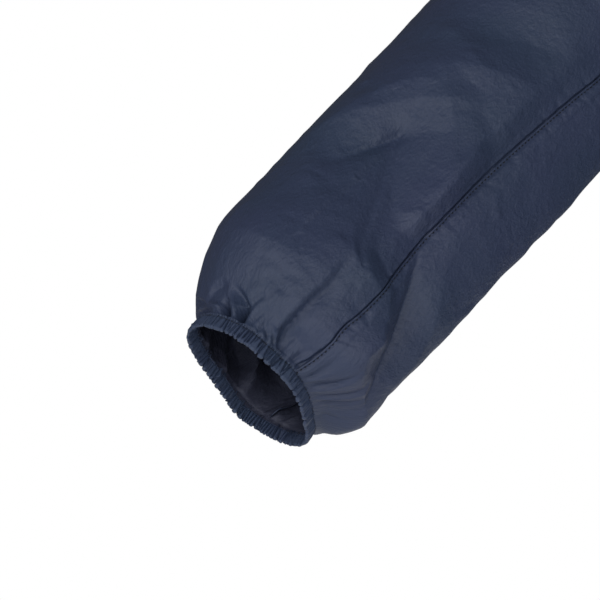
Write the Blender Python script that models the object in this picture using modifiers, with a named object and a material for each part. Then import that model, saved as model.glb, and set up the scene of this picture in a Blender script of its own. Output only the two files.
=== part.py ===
"""Zip jacket in thin woven shell cloth, filled out as if worn, with the arms held off the body.

Metres, +Z up. The front faces -Y and the wearer's left is +X. The origin lies between the
shoulders, level with the points where the collar meets the shoulder seams.
Each cloth panel is a wall lofted through sections that are worked out from the sizes below.
"""

import math
from collections import namedtuple

import bmesh
import bpy
import numpy as np

# Driving sizes
CLOTH = 0.0012
SEAM_GAP = 0.0003
ZIP_OPENING = 0.007
HEM_Z = -0.665
NECK_HALF_WIDTH = 0.074
FRONT_NECK_DROP = 0.078
BACK_NECK_DROP = 0.002
SHOULDER_DROP = 0.055
SHOULDER_HALF_WIDTH = 0.225
UNDERARM_DROP = 0.262
ARMHOLE_DEPTH = 0.150
ARMHOLE_LEAN = 0.006
SLEEVE_LENGTH = 0.560
COLLAR_FRONT = 0.064
COLLAR_SIDE = 0.053
COLLAR_BACK = 0.056
COLLAR_LEAN = 0.012
COLLAR_DRAW = 0.09
CUFF_BAND = 0.0088
CUFF_WALL = 0.0024

# How the shoulder rounds over, and how square the trunk is in plan
SHOULDER_ROUND = 0.105
PLAN_POWER = 2.35
ROUND_POWER = 2.1

# How full the armhole is at its foot
ARMHOLE_POWER = 1.3

# Stations along the neckline crowd to the shoulder seam, where it turns over, and the rows
# below step outward from it, down to this share of the panel
FRONT_NECK_CROWD = 1.7
BACK_NECK_CROWD = 1.25
NECK_SPREAD = 0.022
NECK_SPREAD_SHARE = 0.6

# The row that ends at the underarm starts this far below it on the centre line
FRONT_CHEST_BELOW = 0.045
BACK_CHEST_BELOW = 0.012
CENTRE_CROWD = 1.1

# Shares of a half panel: where its columns stop crowding to the side, and over which its
# folds fade out at the centre line, side, hem and top
SIDE_CROWD_SHARE = 0.75
CENTRE_FADE = 0.20
SIDE_FADE = 0.10
HEM_FADE = 0.06
TOP_FADE = 0.12

# Facets
NECK_STEPS = 5
SHOULDER_STEPS = 6
SIDE_STEPS = 8
ARMHOLE_STEPS = 11
UNDER_STEPS = 4
SLEEVE_ROWS = 26
ARM_STEPS = 280
CUFF_STATIONS = 36
COLLAR_ROWS = 4
SMOOTH_DEG = 50

# Trunk sections: half width, and how far the front and the back stand from the side line
Trunk = namedtuple("Trunk", "z half_width front back")
TRUNK = (
    Trunk(0.040, 0.236, 0.056, 0.070),
    Trunk(-0.055, 0.234, 0.072, 0.092),
    Trunk(-0.120, 0.228, 0.098, 0.112),
    Trunk(-0.200, 0.222, 0.126, 0.122),
    Trunk(-0.280, 0.217, 0.134, 0.119),
    Trunk(-0.400, 0.208, 0.127, 0.105),
    Trunk(-0.520, 0.212, 0.128, 0.113),
    Trunk(-0.680, 0.224, 0.134, 0.122),
)

# The arm's line: its slope below level and how far it points forward, along the arm
Arm = namedtuple("Arm", "along drop_deg forward_deg")
ARM = (
    Arm(0.00, 27.0, 1.0),
    Arm(0.09, 38.5, 4.0),
    Arm(0.18, 45.5, 8.0),
    Arm(0.29, 47.0, 16.0),
    Arm(0.36, 47.2, 23.0),
    Arm(0.50, 47.2, 26.0),
    Arm(0.52, 51.0, 26.5),
    Arm(0.545, 60.0, 27.0),
    Arm(0.56, 51.5, 27.0),
)

# Sleeve sections, from the casing up: reach from the arm's line to each side
Sleeve = namedtuple("Sleeve", "from_cuff upper lower front back")
SLEEVE = (
    Sleeve(0.000, 0.0425, 0.0520, 0.0360, 0.0400),
    Sleeve(0.006, 0.0455, 0.0590, 0.0395, 0.0425),
    Sleeve(0.014, 0.0490, 0.0620, 0.0425, 0.0450),
    Sleeve(0.026, 0.0545, 0.0635, 0.0460, 0.0475),
    Sleeve(0.038, 0.0598, 0.0630, 0.0480, 0.0495),
    Sleeve(0.046, 0.0622, 0.0620, 0.0490, 0.0505),
    Sleeve(0.070, 0.0625, 0.0625, 0.0500, 0.0510),
    Sleeve(0.150, 0.0640, 0.0645, 0.0530, 0.0530),
    Sleeve(0.260, 0.0690, 0.0690, 0.0570, 0.0580),
    Sleeve(0.380, 0.0760, 0.0740, 0.0640, 0.0650),
    Sleeve(0.560, 0.0800, 0.0800, 0.0740, 0.0740),
)

# The mouth's own shape where the elastic draws it in: reach by angle round the sleeve
Mouth = namedtuple("Mouth", "round_deg reach")
MOUTH = (
    Mouth(0, 0.0340),
    Mouth(20, 0.0306),
    Mouth(45, 0.0304),
    Mouth(70, 0.0318),
    Mouth(95, 0.0336),
    Mouth(115, 0.0386),
    Mouth(135, 0.0420),
    Mouth(155, 0.0430),
    Mouth(180, 0.0410),
    Mouth(205, 0.0360),
    Mouth(232, 0.0326),
    Mouth(255, 0.0350),
    Mouth(275, 0.0422),
    Mouth(300, 0.0440),
    Mouth(320, 0.0450),
    Mouth(340, 0.0415),
)
# How far up the sleeve the mouth's shape is felt, and how soon it lets go
MOUTH_UPPER = 0.036
MOUTH_LOWER = 0.009
MOUTH_POWER = 1.5

# The sleeve's two seams, in degrees round it from the underarm line. Its rows lie close by
# the cuff, and the armhole's own shape is felt down to the cap's reach
SLEEVE_SEAM_DEG = 70
ROW_EVEN = 0.22
ROW_POWER = 1.9
CAP_REACH = 0.20
CAP_POWER = 0.8

# Largest folds of a sleeve: from one point to another, round the arm from the underarm line,
# positive by the front and over the top. A positive height is a ridge, a negative one a trough
Fold = namedtuple("Fold", "from_cuff_a round_a from_cuff_b round_b height half_width")
SLEEVE_FOLDS = (
    Fold(0.048, 160, 0.052, 100, 0.0035, 0.012),
    Fold(0.070, 118, 0.050, 78, -0.0030, 0.008),
    Fold(0.112, 122, 0.088, 86, -0.0045, 0.010),
    Fold(0.190, 150, 0.215, 100, 0.0030, 0.016),
    Fold(0.170, 110, 0.150, 80, -0.0040, 0.010),
    Fold(0.100, 40, 0.036, 52, -0.0060, 0.009),
    Fold(0.110, 20, 0.050, 30, 0.0045, 0.010),
    Fold(0.240, 30, 0.250, 75, -0.0045, 0.012),
    Fold(0.290, 60, 0.270, 130, -0.0050, 0.014),
    Fold(0.330, 20, 0.320, 70, -0.0050, 0.014),
    Fold(0.130, 200, 0.090, 250, -0.0045, 0.012),
    Fold(0.250, 230, 0.240, 310, -0.0055, 0.014),
    Fold(0.400, 330, 0.360, 250, -0.0050, 0.016),
    Fold(0.430, 25, 0.380, 90, -0.0050, 0.016),
)
# Length round the sleeve for a degree of turn, and where the folds fade: by the casing, and
# between two distances below the armhole
ROUND_DEG = 0.001
FOLD_CUFF_FADE = 0.012
FOLD_TOP_START = 0.02
FOLD_TOP_FADE = 0.06
FOLD_END = 0.35

# Largest folds of the trunk, as seen from the front or the back, from one point to another
Drape = namedtuple("Drape", "x_a z_a x_b z_b height half_width")
FRONT_DRAPES = (
    Drape(0.165, -0.255, 0.080, -0.330, -0.0060, 0.014),
    Drape(0.190, -0.330, 0.095, -0.420, -0.0060, 0.016),
    Drape(0.175, -0.470, 0.060, -0.520, -0.0050, 0.016),
    Drape(0.150, -0.580, 0.070, -0.560, 0.0050, 0.018),
    Drape(0.120, -0.110, 0.075, -0.190, -0.0040, 0.014),
)
BACK_DRAPES = (
    Drape(0.170, -0.250, 0.060, -0.300, -0.0070, 0.016),
    Drape(0.185, -0.350, 0.040, -0.400, -0.0060, 0.018),
    Drape(0.160, -0.470, 0.020, -0.450, -0.0060, 0.016),
    Drape(0.140, -0.560, 0.090, -0.640, 0.0060, 0.018),
    Drape(0.060, -0.060, 0.020, -0.130, 0.0040, 0.016),
)

# Zip
TAPE_INNER = 0.0030
TAPE_OUTER = 0.0140
TAPE_WALL = 0.0007
TAPE_CLEAR = 0.0005
CHAIN_WIDTH = 0.0050
CHAIN_WALL = 0.0020
CHAIN_SINK = 0.0002
CHAIN_START = 0.0105
CHAIN_END = 0.0040
BOX_WIDTH = 0.0054
BOX_DEPTH = 0.0030
BOX_LENGTH = 0.0090
BOX_RISE = 0.0052
BOX_SINK = 0.0012
BOX_BEVEL = 0.0005
SLIDER_TOP = 0.0006
SLIDER_LENGTH = 0.0090
SLIDER_WIDTH = 0.0086
SLIDER_BACK_WIDTH = 0.0076
SLIDER_CLEAR = 0.0006
SLIDER_BEVEL = 0.0003
PLATE = 0.0011
POST_WIDTH = 0.0026
POST_HEIGHT = 0.0030
POST_TOP = 0.0003
BRIDGE_WIDTH = 0.0020
BRIDGE_REACH = 0.0036
BRIDGE_LENGTH = 0.0078
BRIDGE_SINK = 0.0002
BRIDGE_HOLE_LENGTH = 0.0052
BRIDGE_HOLE_DEPTH = 0.0022
PIN_RISE = 0.0010
PULL_LENGTH = 0.0300
PULL_WIDTH = 0.0076
PULL_WALL = 0.0013
PULL_BEVEL = 0.00035
WINDOW_WIDTH = 0.0040
WINDOW_LENGTH = 0.0102

# Colour, roughness and metallic of each material
FINISHES = {
    "shell": ((0.034, 0.043, 0.075), 0.62, 0.0),
    "casing": ((0.030, 0.041, 0.070), 0.66, 0.0),
    "tape": ((0.018, 0.022, 0.036), 0.80, 0.0),
    "coil": ((0.014, 0.017, 0.026), 0.45, 0.0),
    "metal": ((0.060, 0.062, 0.068), 0.38, 1.0),
}

MIRROR = np.array([-1.0, 1.0, 1.0])


def table_at(rows, key, column, value):
    """A column of a table, read smoothly at a value of its first column."""
    ordered = sorted(rows, key=lambda row: getattr(row, key))
    knots = np.array([getattr(row, key) for row in ordered])
    levels = np.array([getattr(row, column) for row in ordered])
    slopes = np.gradient(levels, knots)
    value = np.clip(value, knots[0], knots[-1])
    i = np.clip(np.searchsorted(knots, value) - 1, 0, len(knots) - 2)
    span = knots[i + 1] - knots[i]
    t = (value - knots[i]) / span
    return (
        (1 + 2 * t) * (1 - t) ** 2 * levels[i]
        + t * (1 - t) ** 2 * span * slopes[i]
        + t * t * (3 - 2 * t) * levels[i + 1]
        + t * t * (t - 1) * span * slopes[i + 1]
    )


def ease(t):
    t = np.clip(t, 0.0, 1.0)
    return t * t * (3 - 2 * t)


def fold_height(a, b, point, height, half_width):
    """A soft trough or ridge along the line from a to b, fading out past its ends."""
    a, b, point = np.asarray(a), np.asarray(b), np.asarray(point)
    run = b - a
    t = float(np.dot(point - a, run) / np.dot(run, run))
    nearest = a + np.clip(t, 0.0, 1.0) * run
    off = np.linalg.norm(point - nearest)
    middle = math.sin(math.pi * float(np.clip(t, 0.0, 1.0))) ** 0.5
    fade = FOLD_END + (1 - FOLD_END) * middle
    return height * fade * math.exp(-((off / half_width) ** 2))


# Trunk


def shoulder_line(x):
    slope = SHOULDER_DROP / (SHOULDER_HALF_WIDTH - NECK_HALF_WIDTH)
    return -slope * (abs(x) - NECK_HALF_WIDTH)


def trunk_depth(x, z, side):
    """How far the cloth stands from the side line at (x, z); side is front or back."""
    half_width = table_at(TRUNK, "z", "half_width", z)
    depth = table_at(TRUNK, "z", side, z)
    plan = max(0.0, 1 - (abs(x) / half_width) ** PLAN_POWER) ** (1 / PLAN_POWER)
    down = float(np.clip((shoulder_line(x) - z) / SHOULDER_ROUND, 0.0, 1.0))
    over = (1 - (1 - down) ** ROUND_POWER) ** (1 / ROUND_POWER)
    return depth * plan * over


def trunk_point(x, z, side):
    toward = -1 if side == "front" else 1
    return np.array([x, toward * trunk_depth(x, z, side), z])


def armhole_point(turn, side):
    """Turn runs from 0 at the underarm to 1 at the shoulder point, on the front or the back."""
    middle = -(SHOULDER_DROP + UNDERARM_DROP) / 2
    z = middle - (UNDERARM_DROP - SHOULDER_DROP) / 2 * math.cos(math.pi * turn)
    y = ARMHOLE_DEPTH / 2 * math.sin(math.pi * turn) ** ARMHOLE_POWER
    if turn <= 0:
        return np.array([float(table_at(TRUNK, "z", "half_width", z)), 0.0, z])
    if turn >= 1:
        return np.array([SHOULDER_HALF_WIDTH, 0.0, -SHOULDER_DROP])
    low, high = 0.10, float(table_at(TRUNK, "z", "half_width", z))
    for _ in range(50):
        x = (low + high) / 2
        if trunk_depth(x, z, side) > y:
            low = x
        else:
            high = x
    x -= ARMHOLE_LEAN * math.sin(math.pi * turn)
    return np.array([x, 0.0, z])


def neck_point(turn, side):
    """Turn runs from 0 at the centre line to 1 where the neckline meets the shoulder seam."""
    drop = FRONT_NECK_DROP if side == "front" else BACK_NECK_DROP
    crowd = FRONT_NECK_CROWD if side == "front" else BACK_NECK_CROWD
    angle = math.pi / 2 * (1 - (1 - turn) ** crowd)
    start = ZIP_OPENING / 2 if side == "front" else 0.0
    x = start + (NECK_HALF_WIDTH - start) * math.sin(angle)
    return np.array([x, 0.0, -drop * math.cos(angle)])


def trunk_outline(side):
    """The four edges of a half panel, flat in (x, z): centre line, hem, side with armhole, top."""
    start = ZIP_OPENING / 2 if side == "front" else 0.0
    drop = FRONT_NECK_DROP if side == "front" else BACK_NECK_DROP
    chest = -UNDERARM_DROP
    chest -= FRONT_CHEST_BELOW if side == "front" else BACK_CHEST_BELOW
    below = np.linspace(0, 1, SIDE_STEPS + 1)[:-1]
    above = np.linspace(0, 1, ARMHOLE_STEPS + 1)
    centre = [HEM_Z + (chest - HEM_Z) * t for t in below]
    rise = -drop - chest
    centre += [chest + rise * math.sin(math.pi / 2 * t) ** CENTRE_CROWD for t in above]
    edge = []
    for t in below:
        z = HEM_Z + (-UNDERARM_DROP - HEM_Z) * t
        edge.append((float(table_at(TRUNK, "z", "half_width", z)), z))
    edge += [tuple(armhole_point(t, side)[[0, 2]]) for t in above]
    columns = NECK_STEPS + SHOULDER_STEPS
    hem_width = edge[0][0]
    hem = [
        start + (hem_width - start) * math.sin(math.pi / 2 * i / columns)
        for i in range(columns + 1)
    ]
    top = [tuple(neck_point(i / NECK_STEPS, side)[[0, 2]]) for i in range(NECK_STEPS)]
    for i in range(SHOULDER_STEPS + 1):
        t = i / SHOULDER_STEPS
        x = NECK_HALF_WIDTH + (SHOULDER_HALF_WIDTH - NECK_HALF_WIDTH) * t
        top.append((x, shoulder_line(x)))
    return (
        np.array([(start, z) for z in centre]),
        np.array([(x, HEM_Z) for x in hem]),
        np.array(edge),
        np.array(top),
    )


def half_trunk(side):
    """Points of a half panel, by row from the hem up and by column from the centre line out."""
    centre, hem, edge, top = trunk_outline(side)
    rows, columns = len(centre), len(hem)
    drapes = FRONT_DRAPES if side == "front" else BACK_DRAPES
    toward = -1 if side == "front" else 1
    grid = np.zeros((rows, columns, 3))
    for r in range(rows):
        v = r / (rows - 1)
        for c in range(columns):
            u = c / (columns - 1)
            flat = (1 - u) * centre[r] + u * edge[r] + (1 - v) * hem[c] + v * top[c]
            flat -= (1 - u) * (1 - v) * centre[0] + u * (1 - v) * edge[0]
            flat -= (1 - u) * v * centre[-1] + u * v * edge[-1]
            # Columns crowd to the side as the cloth turns round to it
            spread = centre[r, 0] + (edge[r, 0] - centre[r, 0]) * math.sin(math.pi / 2 * u)
            crowd = (1 - ease(v / SIDE_CROWD_SHARE)) * min(1.0, 4 * u * (1 - u))
            flat[0] += (spread - flat[0]) * crowd
            # Rows step outward from the neckline, where it runs straight up to the seam
            beside = math.sin(math.pi * min(1.0, c / (2 * NECK_STEPS))) ** 2
            below = min(1.0, (1 - v) / NECK_SPREAD_SHARE)
            flat[0] += NECK_SPREAD * beside * math.sin(math.pi * below)
            flat[0] = min(flat[0], edge[r, 0])
            grid[r, c] = trunk_point(flat[0], flat[1], side)
            edge_fade = ease(u / CENTRE_FADE) * ease((1 - u) / SIDE_FADE)
            edge_fade *= ease(v / HEM_FADE) * ease((1 - v) / TOP_FADE)
            for fold in drapes:
                grid[r, c, 1] += toward * edge_fade * fold_height(
                    (fold.x_a, fold.z_a),
                    (fold.x_b, fold.z_b),
                    flat,
                    fold.height,
                    fold.half_width,
                )
    return grid


# Sleeves


def arm_line():
    """Finely spaced stations of the right arm's line: distance, point and direction."""
    along = np.linspace(0.0, SLEEVE_LENGTH, ARM_STEPS + 1)
    drop = np.radians([table_at(ARM, "along", "drop_deg", s) for s in along])
    forward = np.radians([table_at(ARM, "along", "forward_deg", s) for s in along])
    directions = np.stack(
        [
            -np.cos(forward) * np.cos(drop),
            -np.sin(forward),
            -np.cos(forward) * np.sin(drop),
        ],
        axis=1,
    )
    hops = (directions[1:] + directions[:-1]) / 2 * (SLEEVE_LENGTH / ARM_STEPS)
    points = np.vstack([np.zeros(3), np.cumsum(hops, axis=0)])
    return along, points, directions


def armhole_loop():
    """The right armhole: from the underarm up the front to the shoulder and down the back."""
    front = [trunk_edge("front", i) for i in range(ARMHOLE_STEPS + 1)]
    back = [trunk_edge("back", i) for i in range(ARMHOLE_STEPS - 1, 0, -1)]
    return np.array(front + back)


def trunk_edge(side, i):
    x, _, z = armhole_point(i / ARMHOLE_STEPS, side)
    point = trunk_point(x, z, side)
    point[0] = -point[0]
    return point


def sleeve_angles():
    """The angle of each station round the sleeve, from the underarm line; 90 faces forward."""
    low = [SLEEVE_SEAM_DEG * i / UNDER_STEPS for i in range(UNDER_STEPS)]
    steps = ARMHOLE_STEPS - UNDER_STEPS
    rest = 180 - SLEEVE_SEAM_DEG
    high = [SLEEVE_SEAM_DEG + rest * i / steps for i in range(steps + 1)]
    front = low + high
    return front + [360 - a for a in front[-2:0:-1]]


def sleeve_rows():
    """Distances above the casing, close together by the cuff and wider up the arm."""
    t = np.linspace(0, 1, SLEEVE_ROWS)
    return SLEEVE_LENGTH * (ROW_EVEN * t + (1 - ROW_EVEN) * t**ROW_POWER)


def mouth_reach(angle):
    """The mouth's reach from its centre at an angle round the sleeve."""
    first, last = MOUTH[0], MOUTH[-1]
    closed = (last._replace(round_deg=last.round_deg - 360),) + MOUTH
    closed += (first._replace(round_deg=360),)
    return float(table_at(closed, "round_deg", "reach", angle % 360))


def sleeve_ring(from_cuff, angles, line, loop):
    """One section of the right sleeve: the armhole's own loop at the top, then an oval."""
    along_all, points, directions = line
    along = SLEEVE_LENGTH - from_cuff
    centre = np.array([np.interp(along, along_all, points[:, k]) for k in range(3)])
    axis = np.array([np.interp(along, along_all, directions[:, k]) for k in range(3)])
    axis /= np.linalg.norm(axis)
    forward = np.array([0.0, -1.0, 0.0]) - axis * -axis[1]
    forward /= np.linalg.norm(forward)
    upward = np.cross(axis, forward)
    if upward[2] < 0:
        upward = -upward
    root = loop.mean(axis=0)
    reach = {
        side: float(table_at(SLEEVE, "from_cuff", side, from_cuff))
        for side in ("upper", "lower", "front", "back")
    }
    blend = ease(along / CAP_REACH) ** CAP_POWER
    fold_fade = ease(from_cuff / FOLD_CUFF_FADE) * ease((along - FOLD_TOP_START) / FOLD_TOP_FADE)
    ring = []
    for i, angle in enumerate(angles):
        rise = -math.cos(math.radians(angle))
        face = math.sin(math.radians(angle))
        out = upward * rise * reach["upper" if rise > 0 else "lower"]
        out = out + forward * face * reach["front" if face > 0 else "back"]
        bump = 0.0
        for fold in SLEEVE_FOLDS:
            a = (fold.from_cuff_a, fold.round_a * ROUND_DEG)
            b = (fold.from_cuff_b, fold.round_b * ROUND_DEG)
            at = (from_cuff, angle * ROUND_DEG)
            bump += fold_height(a, b, at, fold.height, fold.half_width)
        out *= 1 + fold_fade * bump / np.linalg.norm(out)
        felt = MOUTH_LOWER + (MOUTH_UPPER - MOUTH_LOWER) * (1 + rise) / 2
        drawn_in = max(0.0, 1 - from_cuff / felt) ** MOUTH_POWER
        mouth = (upward * rise + forward * face) * mouth_reach(angle)
        oval = out + drawn_in * (mouth - out)
        top = loop[i] - root if blend < 1 else 0.0
        ring.append(root + centre + (1 - blend) * top + blend * oval)
    return np.array(ring)


def sleeve_grid():
    """Points of the whole right sleeve, by row from the casing up and round by station."""
    line = arm_line()
    loop = armhole_loop()
    angles = sleeve_angles()
    return np.array([sleeve_ring(s, angles, line, loop) for s in sleeve_rows()])


# Walls


def normals_of(grids):
    """Outward normals at each point of the grids, shared where the grids meet."""
    total = {}
    keys = []
    for grid in grids:
        rows, columns = grid.shape[:2]
        faces = np.zeros_like(grid)
        for r in range(rows - 1):
            for c in range(columns - 1):
                corner = grid[r, c], grid[r, c + 1], grid[r + 1, c + 1], grid[r + 1, c]
                face = np.cross(corner[2] - corner[0], corner[3] - corner[1])
                size = np.linalg.norm(face)
                if size > 0:
                    face = face / size**0.5
                for dr, dc in ((0, 0), (0, 1), (1, 1), (1, 0)):
                    faces[r + dr, c + dc] += face
        names = [[tuple(np.round(p, 6)) for p in row] for row in grid]
        for r in range(rows):
            for c in range(columns):
                total[names[r][c]] = total.get(names[r][c], 0) + faces[r, c]
        keys.append(names)
    found = []
    for grid, names in zip(grids, keys):
        normal = np.array([[total[name] for name in row] for row in names])
        found.append(normal / np.linalg.norm(normal, axis=2, keepdims=True))
    return found


def open_seams(grid, normals, gap):
    """The grid with its four edges drawn in by half a gap, square to the seam along the cloth."""
    drawn = grid.copy()
    for axis in (0, 1):
        lines, faces = np.moveaxis(grid, axis, 0), np.moveaxis(normals, axis, 0)
        moved = np.moveaxis(drawn, axis, 0)
        for edge, inner in ((0, 1), (-1, -2)):
            seam = np.gradient(lines[edge], axis=0)
            square = np.cross(faces[edge], seam)
            square /= np.linalg.norm(square, axis=1, keepdims=True)
            inward = np.sum(square * (lines[inner] - lines[edge]), axis=1).sum()
            moved[edge] += square * math.copysign(gap / 2, inward)
    return drawn


def halves_of(points, a, b, c, d):
    """A four-cornered facet as two triangles, split across its shorter diagonal."""
    straight = math.dist(points[a], points[c])
    crossed = math.dist(points[b], points[d])
    if straight <= crossed:
        return [(a, b, c), (a, c, d)]
    return [(a, b, d), (b, c, d)]


def wall(outer, inner):
    """A closed wall lofted through sections: each is an outer row and the inner row below it."""
    rows, columns = outer.shape[:2]
    points = [tuple(p) for p in outer.reshape(-1, 3)] + [tuple(p) for p in inner.reshape(-1, 3)]
    back = rows * columns

    def at(r, c):
        return r * columns + c

    faces = []
    for r in range(rows - 1):
        for c in range(columns - 1):
            corners = (at(r, c), at(r, c + 1), at(r + 1, c + 1), at(r + 1, c))
            for half in halves_of(points, *corners):
                faces.append(half)
                faces.append(tuple(back + i for i in reversed(half)))
    rim = [at(0, c) for c in range(columns)]
    rim += [at(r, columns - 1) for r in range(1, rows)]
    rim += [at(rows - 1, c) for c in range(columns - 2, -1, -1)]
    rim += [at(r, 0) for r in range(rows - 2, 0, -1)]
    for a, b in zip(rim, rim[1:] + rim[:1]):
        faces.extend(halves_of(points, b, a, back + a, back + b))
    return points, faces


def add_mesh(name, points, faces, collection, material, mirrored=False):
    if mirrored:
        points = [(-x, y, z) for x, y, z in points]
        faces = [tuple(reversed(face)) for face in faces]
    mesh = bpy.data.meshes.new(name)
    mesh.from_pydata(points, [], faces)
    mesh.shade_smooth()
    mesh.set_sharp_from_angle(angle=math.radians(SMOOTH_DEG))
    mesh.materials.append(material)
    obj = bpy.data.objects.new(name, mesh)
    collection.objects.link(obj)
    return obj


def add_panel(name, grid, normals, collection, material):
    """A panel of even thickness, with its outer face on the grid."""
    outer = open_seams(grid, normals, SEAM_GAP)
    add_mesh(name, *wall(outer, outer - normals * CLOTH), collection, material)


# The pieces


def trunk_grids():
    """Points of the two fronts and the back."""
    front = half_trunk("front")
    back = half_trunk("back")
    return {
        "front_left": front,
        "front_right": (front * MIRROR)[:, ::-1],
        "back": np.concatenate([back[:, ::-1], (back * MIRROR)[:, 1:]], axis=1),
    }


def collar_grid():
    """Points of the collar from the neckline up, from the left front edge round to the right."""
    ring = []
    steps = [i / NECK_STEPS for i in range(NECK_STEPS + 1)]
    for side, order, sign in (
        ("front", steps, 1),
        ("back", steps[-2::-1], 1),
        ("back", steps[1:], -1),
        ("front", steps[-2::-1], -1),
    ):
        for turn in order:
            x, _, z = neck_point(turn, side)
            foot = trunk_point(x, z, side)
            foot[0] *= sign
            ring.append(foot)
    ring = np.array(ring)
    side = 1 - ring[:, 2].clip(None, 0) / ring[:, 2].min()
    toward_back = ring[:, 1].clip(0) / ring[:, 1].max()
    height = COLLAR_FRONT + (COLLAR_SIDE - COLLAR_FRONT) * ease(side)
    height += (COLLAR_BACK - COLLAR_SIDE) * ease(toward_back)
    rows = []
    for r in range(COLLAR_ROWS + 1):
        t = r / COLLAR_ROWS
        row = ring.copy()
        row[:, 2] += height * t
        row[:, 0] *= 1 - COLLAR_DRAW * ease(t) * np.abs(ring[:, 0]) / NECK_HALF_WIDTH
        row[:, 1] -= COLLAR_LEAN * t * toward_back
        rows.append(row)
    return np.array(rows)


def make_cloth(collection, materials):
    """All the panels. Gives the zip's line, and what the tapes are made from."""
    trunk = trunk_grids()
    collar = collar_grid()
    sleeve = sleeve_grid()
    around = sleeve.shape[1]
    seam_front, seam_back = UNDER_STEPS, around - UNDER_STEPS
    upper = sleeve[:, seam_front : seam_back + 1]
    under = np.concatenate([sleeve[:, seam_back:], sleeve[:, : seam_front + 1]], axis=1)
    # Columns run so that each grid's faces look outward
    upper, under = upper[:, ::-1], under[:, ::-1]
    upper_left, under_left = (upper * MIRROR)[:, ::-1], (under * MIRROR)[:, ::-1]
    names = list(trunk) + [
        "collar",
        "sleeve_upper_right",
        "sleeve_under_right",
        "sleeve_upper_left",
        "sleeve_under_left",
    ]
    grids = list(trunk.values()) + [collar, upper, under, upper_left, under_left]
    faced = dict(zip(names, normals_of(grids)))
    for name, grid in zip(names, grids):
        add_panel(name, grid, faced[name], collection, materials["shell"])
    front = trunk["front_right"]
    edges = (
        (front, faced["front_right"], range(len(front))),
        (collar, faced["collar"], range(1, len(collar))),
    )
    return np.vstack([front[:, -1], collar[1:, -1]]), edges


def make_cuffs(collection, materials):
    """The elastic casing: a closed ring of rounded section below the sleeve's last row."""
    line = arm_line()
    angles = [360 * i / CUFF_STATIONS for i in range(CUFF_STATIONS)]
    ring = sleeve_ring(0.0, angles, line, armhole_loop())
    centre = ring.mean(axis=0)
    down = line[2][-1]
    # Section of the casing: how far down the sleeve and how far in from its outside
    soft = CUFF_WALL / 4
    section = (
        (SEAM_GAP, soft),
        (2 * soft, 0.0),
        (CUFF_BAND - soft, 0.0),
        (CUFF_BAND, CUFF_WALL / 2),
        (CUFF_BAND - soft, CUFF_WALL),
        (SEAM_GAP, CUFF_WALL),
    )
    count = len(ring)
    points = []
    for i in range(count):
        along = ring[(i + 1) % count] - ring[i - 1]
        outward = np.cross(along, down)
        outward /= np.linalg.norm(outward)
        if np.dot(outward, ring[i] - centre) < 0:
            outward = -outward
        for drop, deep in section:
            points.append(tuple(ring[i] + down * drop - outward * deep))
    size = len(section)
    faces = []
    for i in range(count):
        for k in range(size):
            a, b = i * size + k, i * size + (k + 1) % size
            c, d = (i + 1) % count * size + (k + 1) % size, (i + 1) % count * size + k
            faces.append((a, b, c, d))
    for name, mirrored in (("cuff_right", False), ("cuff_left", True)):
        obj = add_mesh(name, points, faces, collection, materials["casing"], mirrored)
        face_outward(obj)


def face_outward(obj):
    mesh = bmesh.new()
    mesh.from_mesh(obj.data)
    bmesh.ops.recalc_face_normals(mesh, faces=mesh.faces)
    mesh.to_mesh(obj.data)
    mesh.free()


def front_strip(grids, x_in, x_out):
    """Points and normals on the right front and collar, from x_in to x_out beside the centre."""
    found_points, found_normals = [], []
    for grid, normals, rows in grids:
        for r in rows:
            edge, inner = grid[r, -1], grid[r, -2]
            pair, square = [], []
            for x in (x_out, x_in):
                t = (x - abs(edge[0])) / (abs(inner[0]) - abs(edge[0]))
                pair.append(edge + t * (inner - edge))
                normal = normals[r, -1] + t * (normals[r, -2] - normals[r, -1])
                square.append(normal / np.linalg.norm(normal))
            found_points.append(pair)
            found_normals.append(square)
    return np.array(found_points), np.array(found_normals)


def make_zip(grids, line, collection, materials):
    """Tapes behind the front edges, and the closed coil between them up to the slider."""
    points, normals = front_strip(grids, TAPE_INNER, TAPE_OUTER)
    points[0, :, 2] += SEAM_GAP
    points[-1, :, 2] -= SEAM_GAP
    top = points - normals * (CLOTH + TAPE_CLEAR)
    shape = wall(top, top - normals * TAPE_WALL)
    for name, mirrored in (("zip_tape_right", False), ("zip_tape_left", True)):
        add_mesh(name, *shape, collection, materials["tape"], mirrored)
    end = line[-1, 2] - SLIDER_LENGTH
    height = line[:, 2]
    heights = [z for z in height if z < end - CHAIN_END] + [end]
    heights[0] += CHAIN_START
    middle = np.array([[0.0, np.interp(z, height, line[:, 1]), z] for z in heights])
    slope = np.gradient(middle, axis=0)
    inward = np.stack([np.zeros(len(middle)), slope[:, 2], -slope[:, 1]], axis=1)
    inward /= np.linalg.norm(inward, axis=1, keepdims=True)
    outer = np.stack([middle, middle], axis=1) + inward[:, None] * CHAIN_SINK
    outer[:, 0, 0], outer[:, 1, 0] = -CHAIN_WIDTH / 2, CHAIN_WIDTH / 2
    shape = wall(outer, outer + inward[:, None] * CHAIN_WALL)
    add_mesh("zip_chain", *shape, collection, materials["coil"])


def add_block(name, size, place, collection, material, bevel=0.0, origin=(0.0, 0.0, 0.0)):
    """A box with rounded edges, made at its own size about the object's origin."""
    mesh = bpy.data.meshes.new(name)
    shape = bmesh.new()
    bmesh.ops.create_cube(shape, size=1.0)
    bmesh.ops.scale(shape, vec=size, verts=shape.verts)
    bmesh.ops.translate(shape, vec=np.subtract(place, origin), verts=shape.verts)
    shape.to_mesh(mesh)
    shape.free()
    mesh.materials.append(material)
    obj = bpy.data.objects.new(name, mesh)
    obj.location = origin
    collection.objects.link(obj)
    if bevel:
        rounded = obj.modifiers.new("rounded", "BEVEL")
        rounded.width = bevel
        rounded.segments = 1
    return obj


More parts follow.
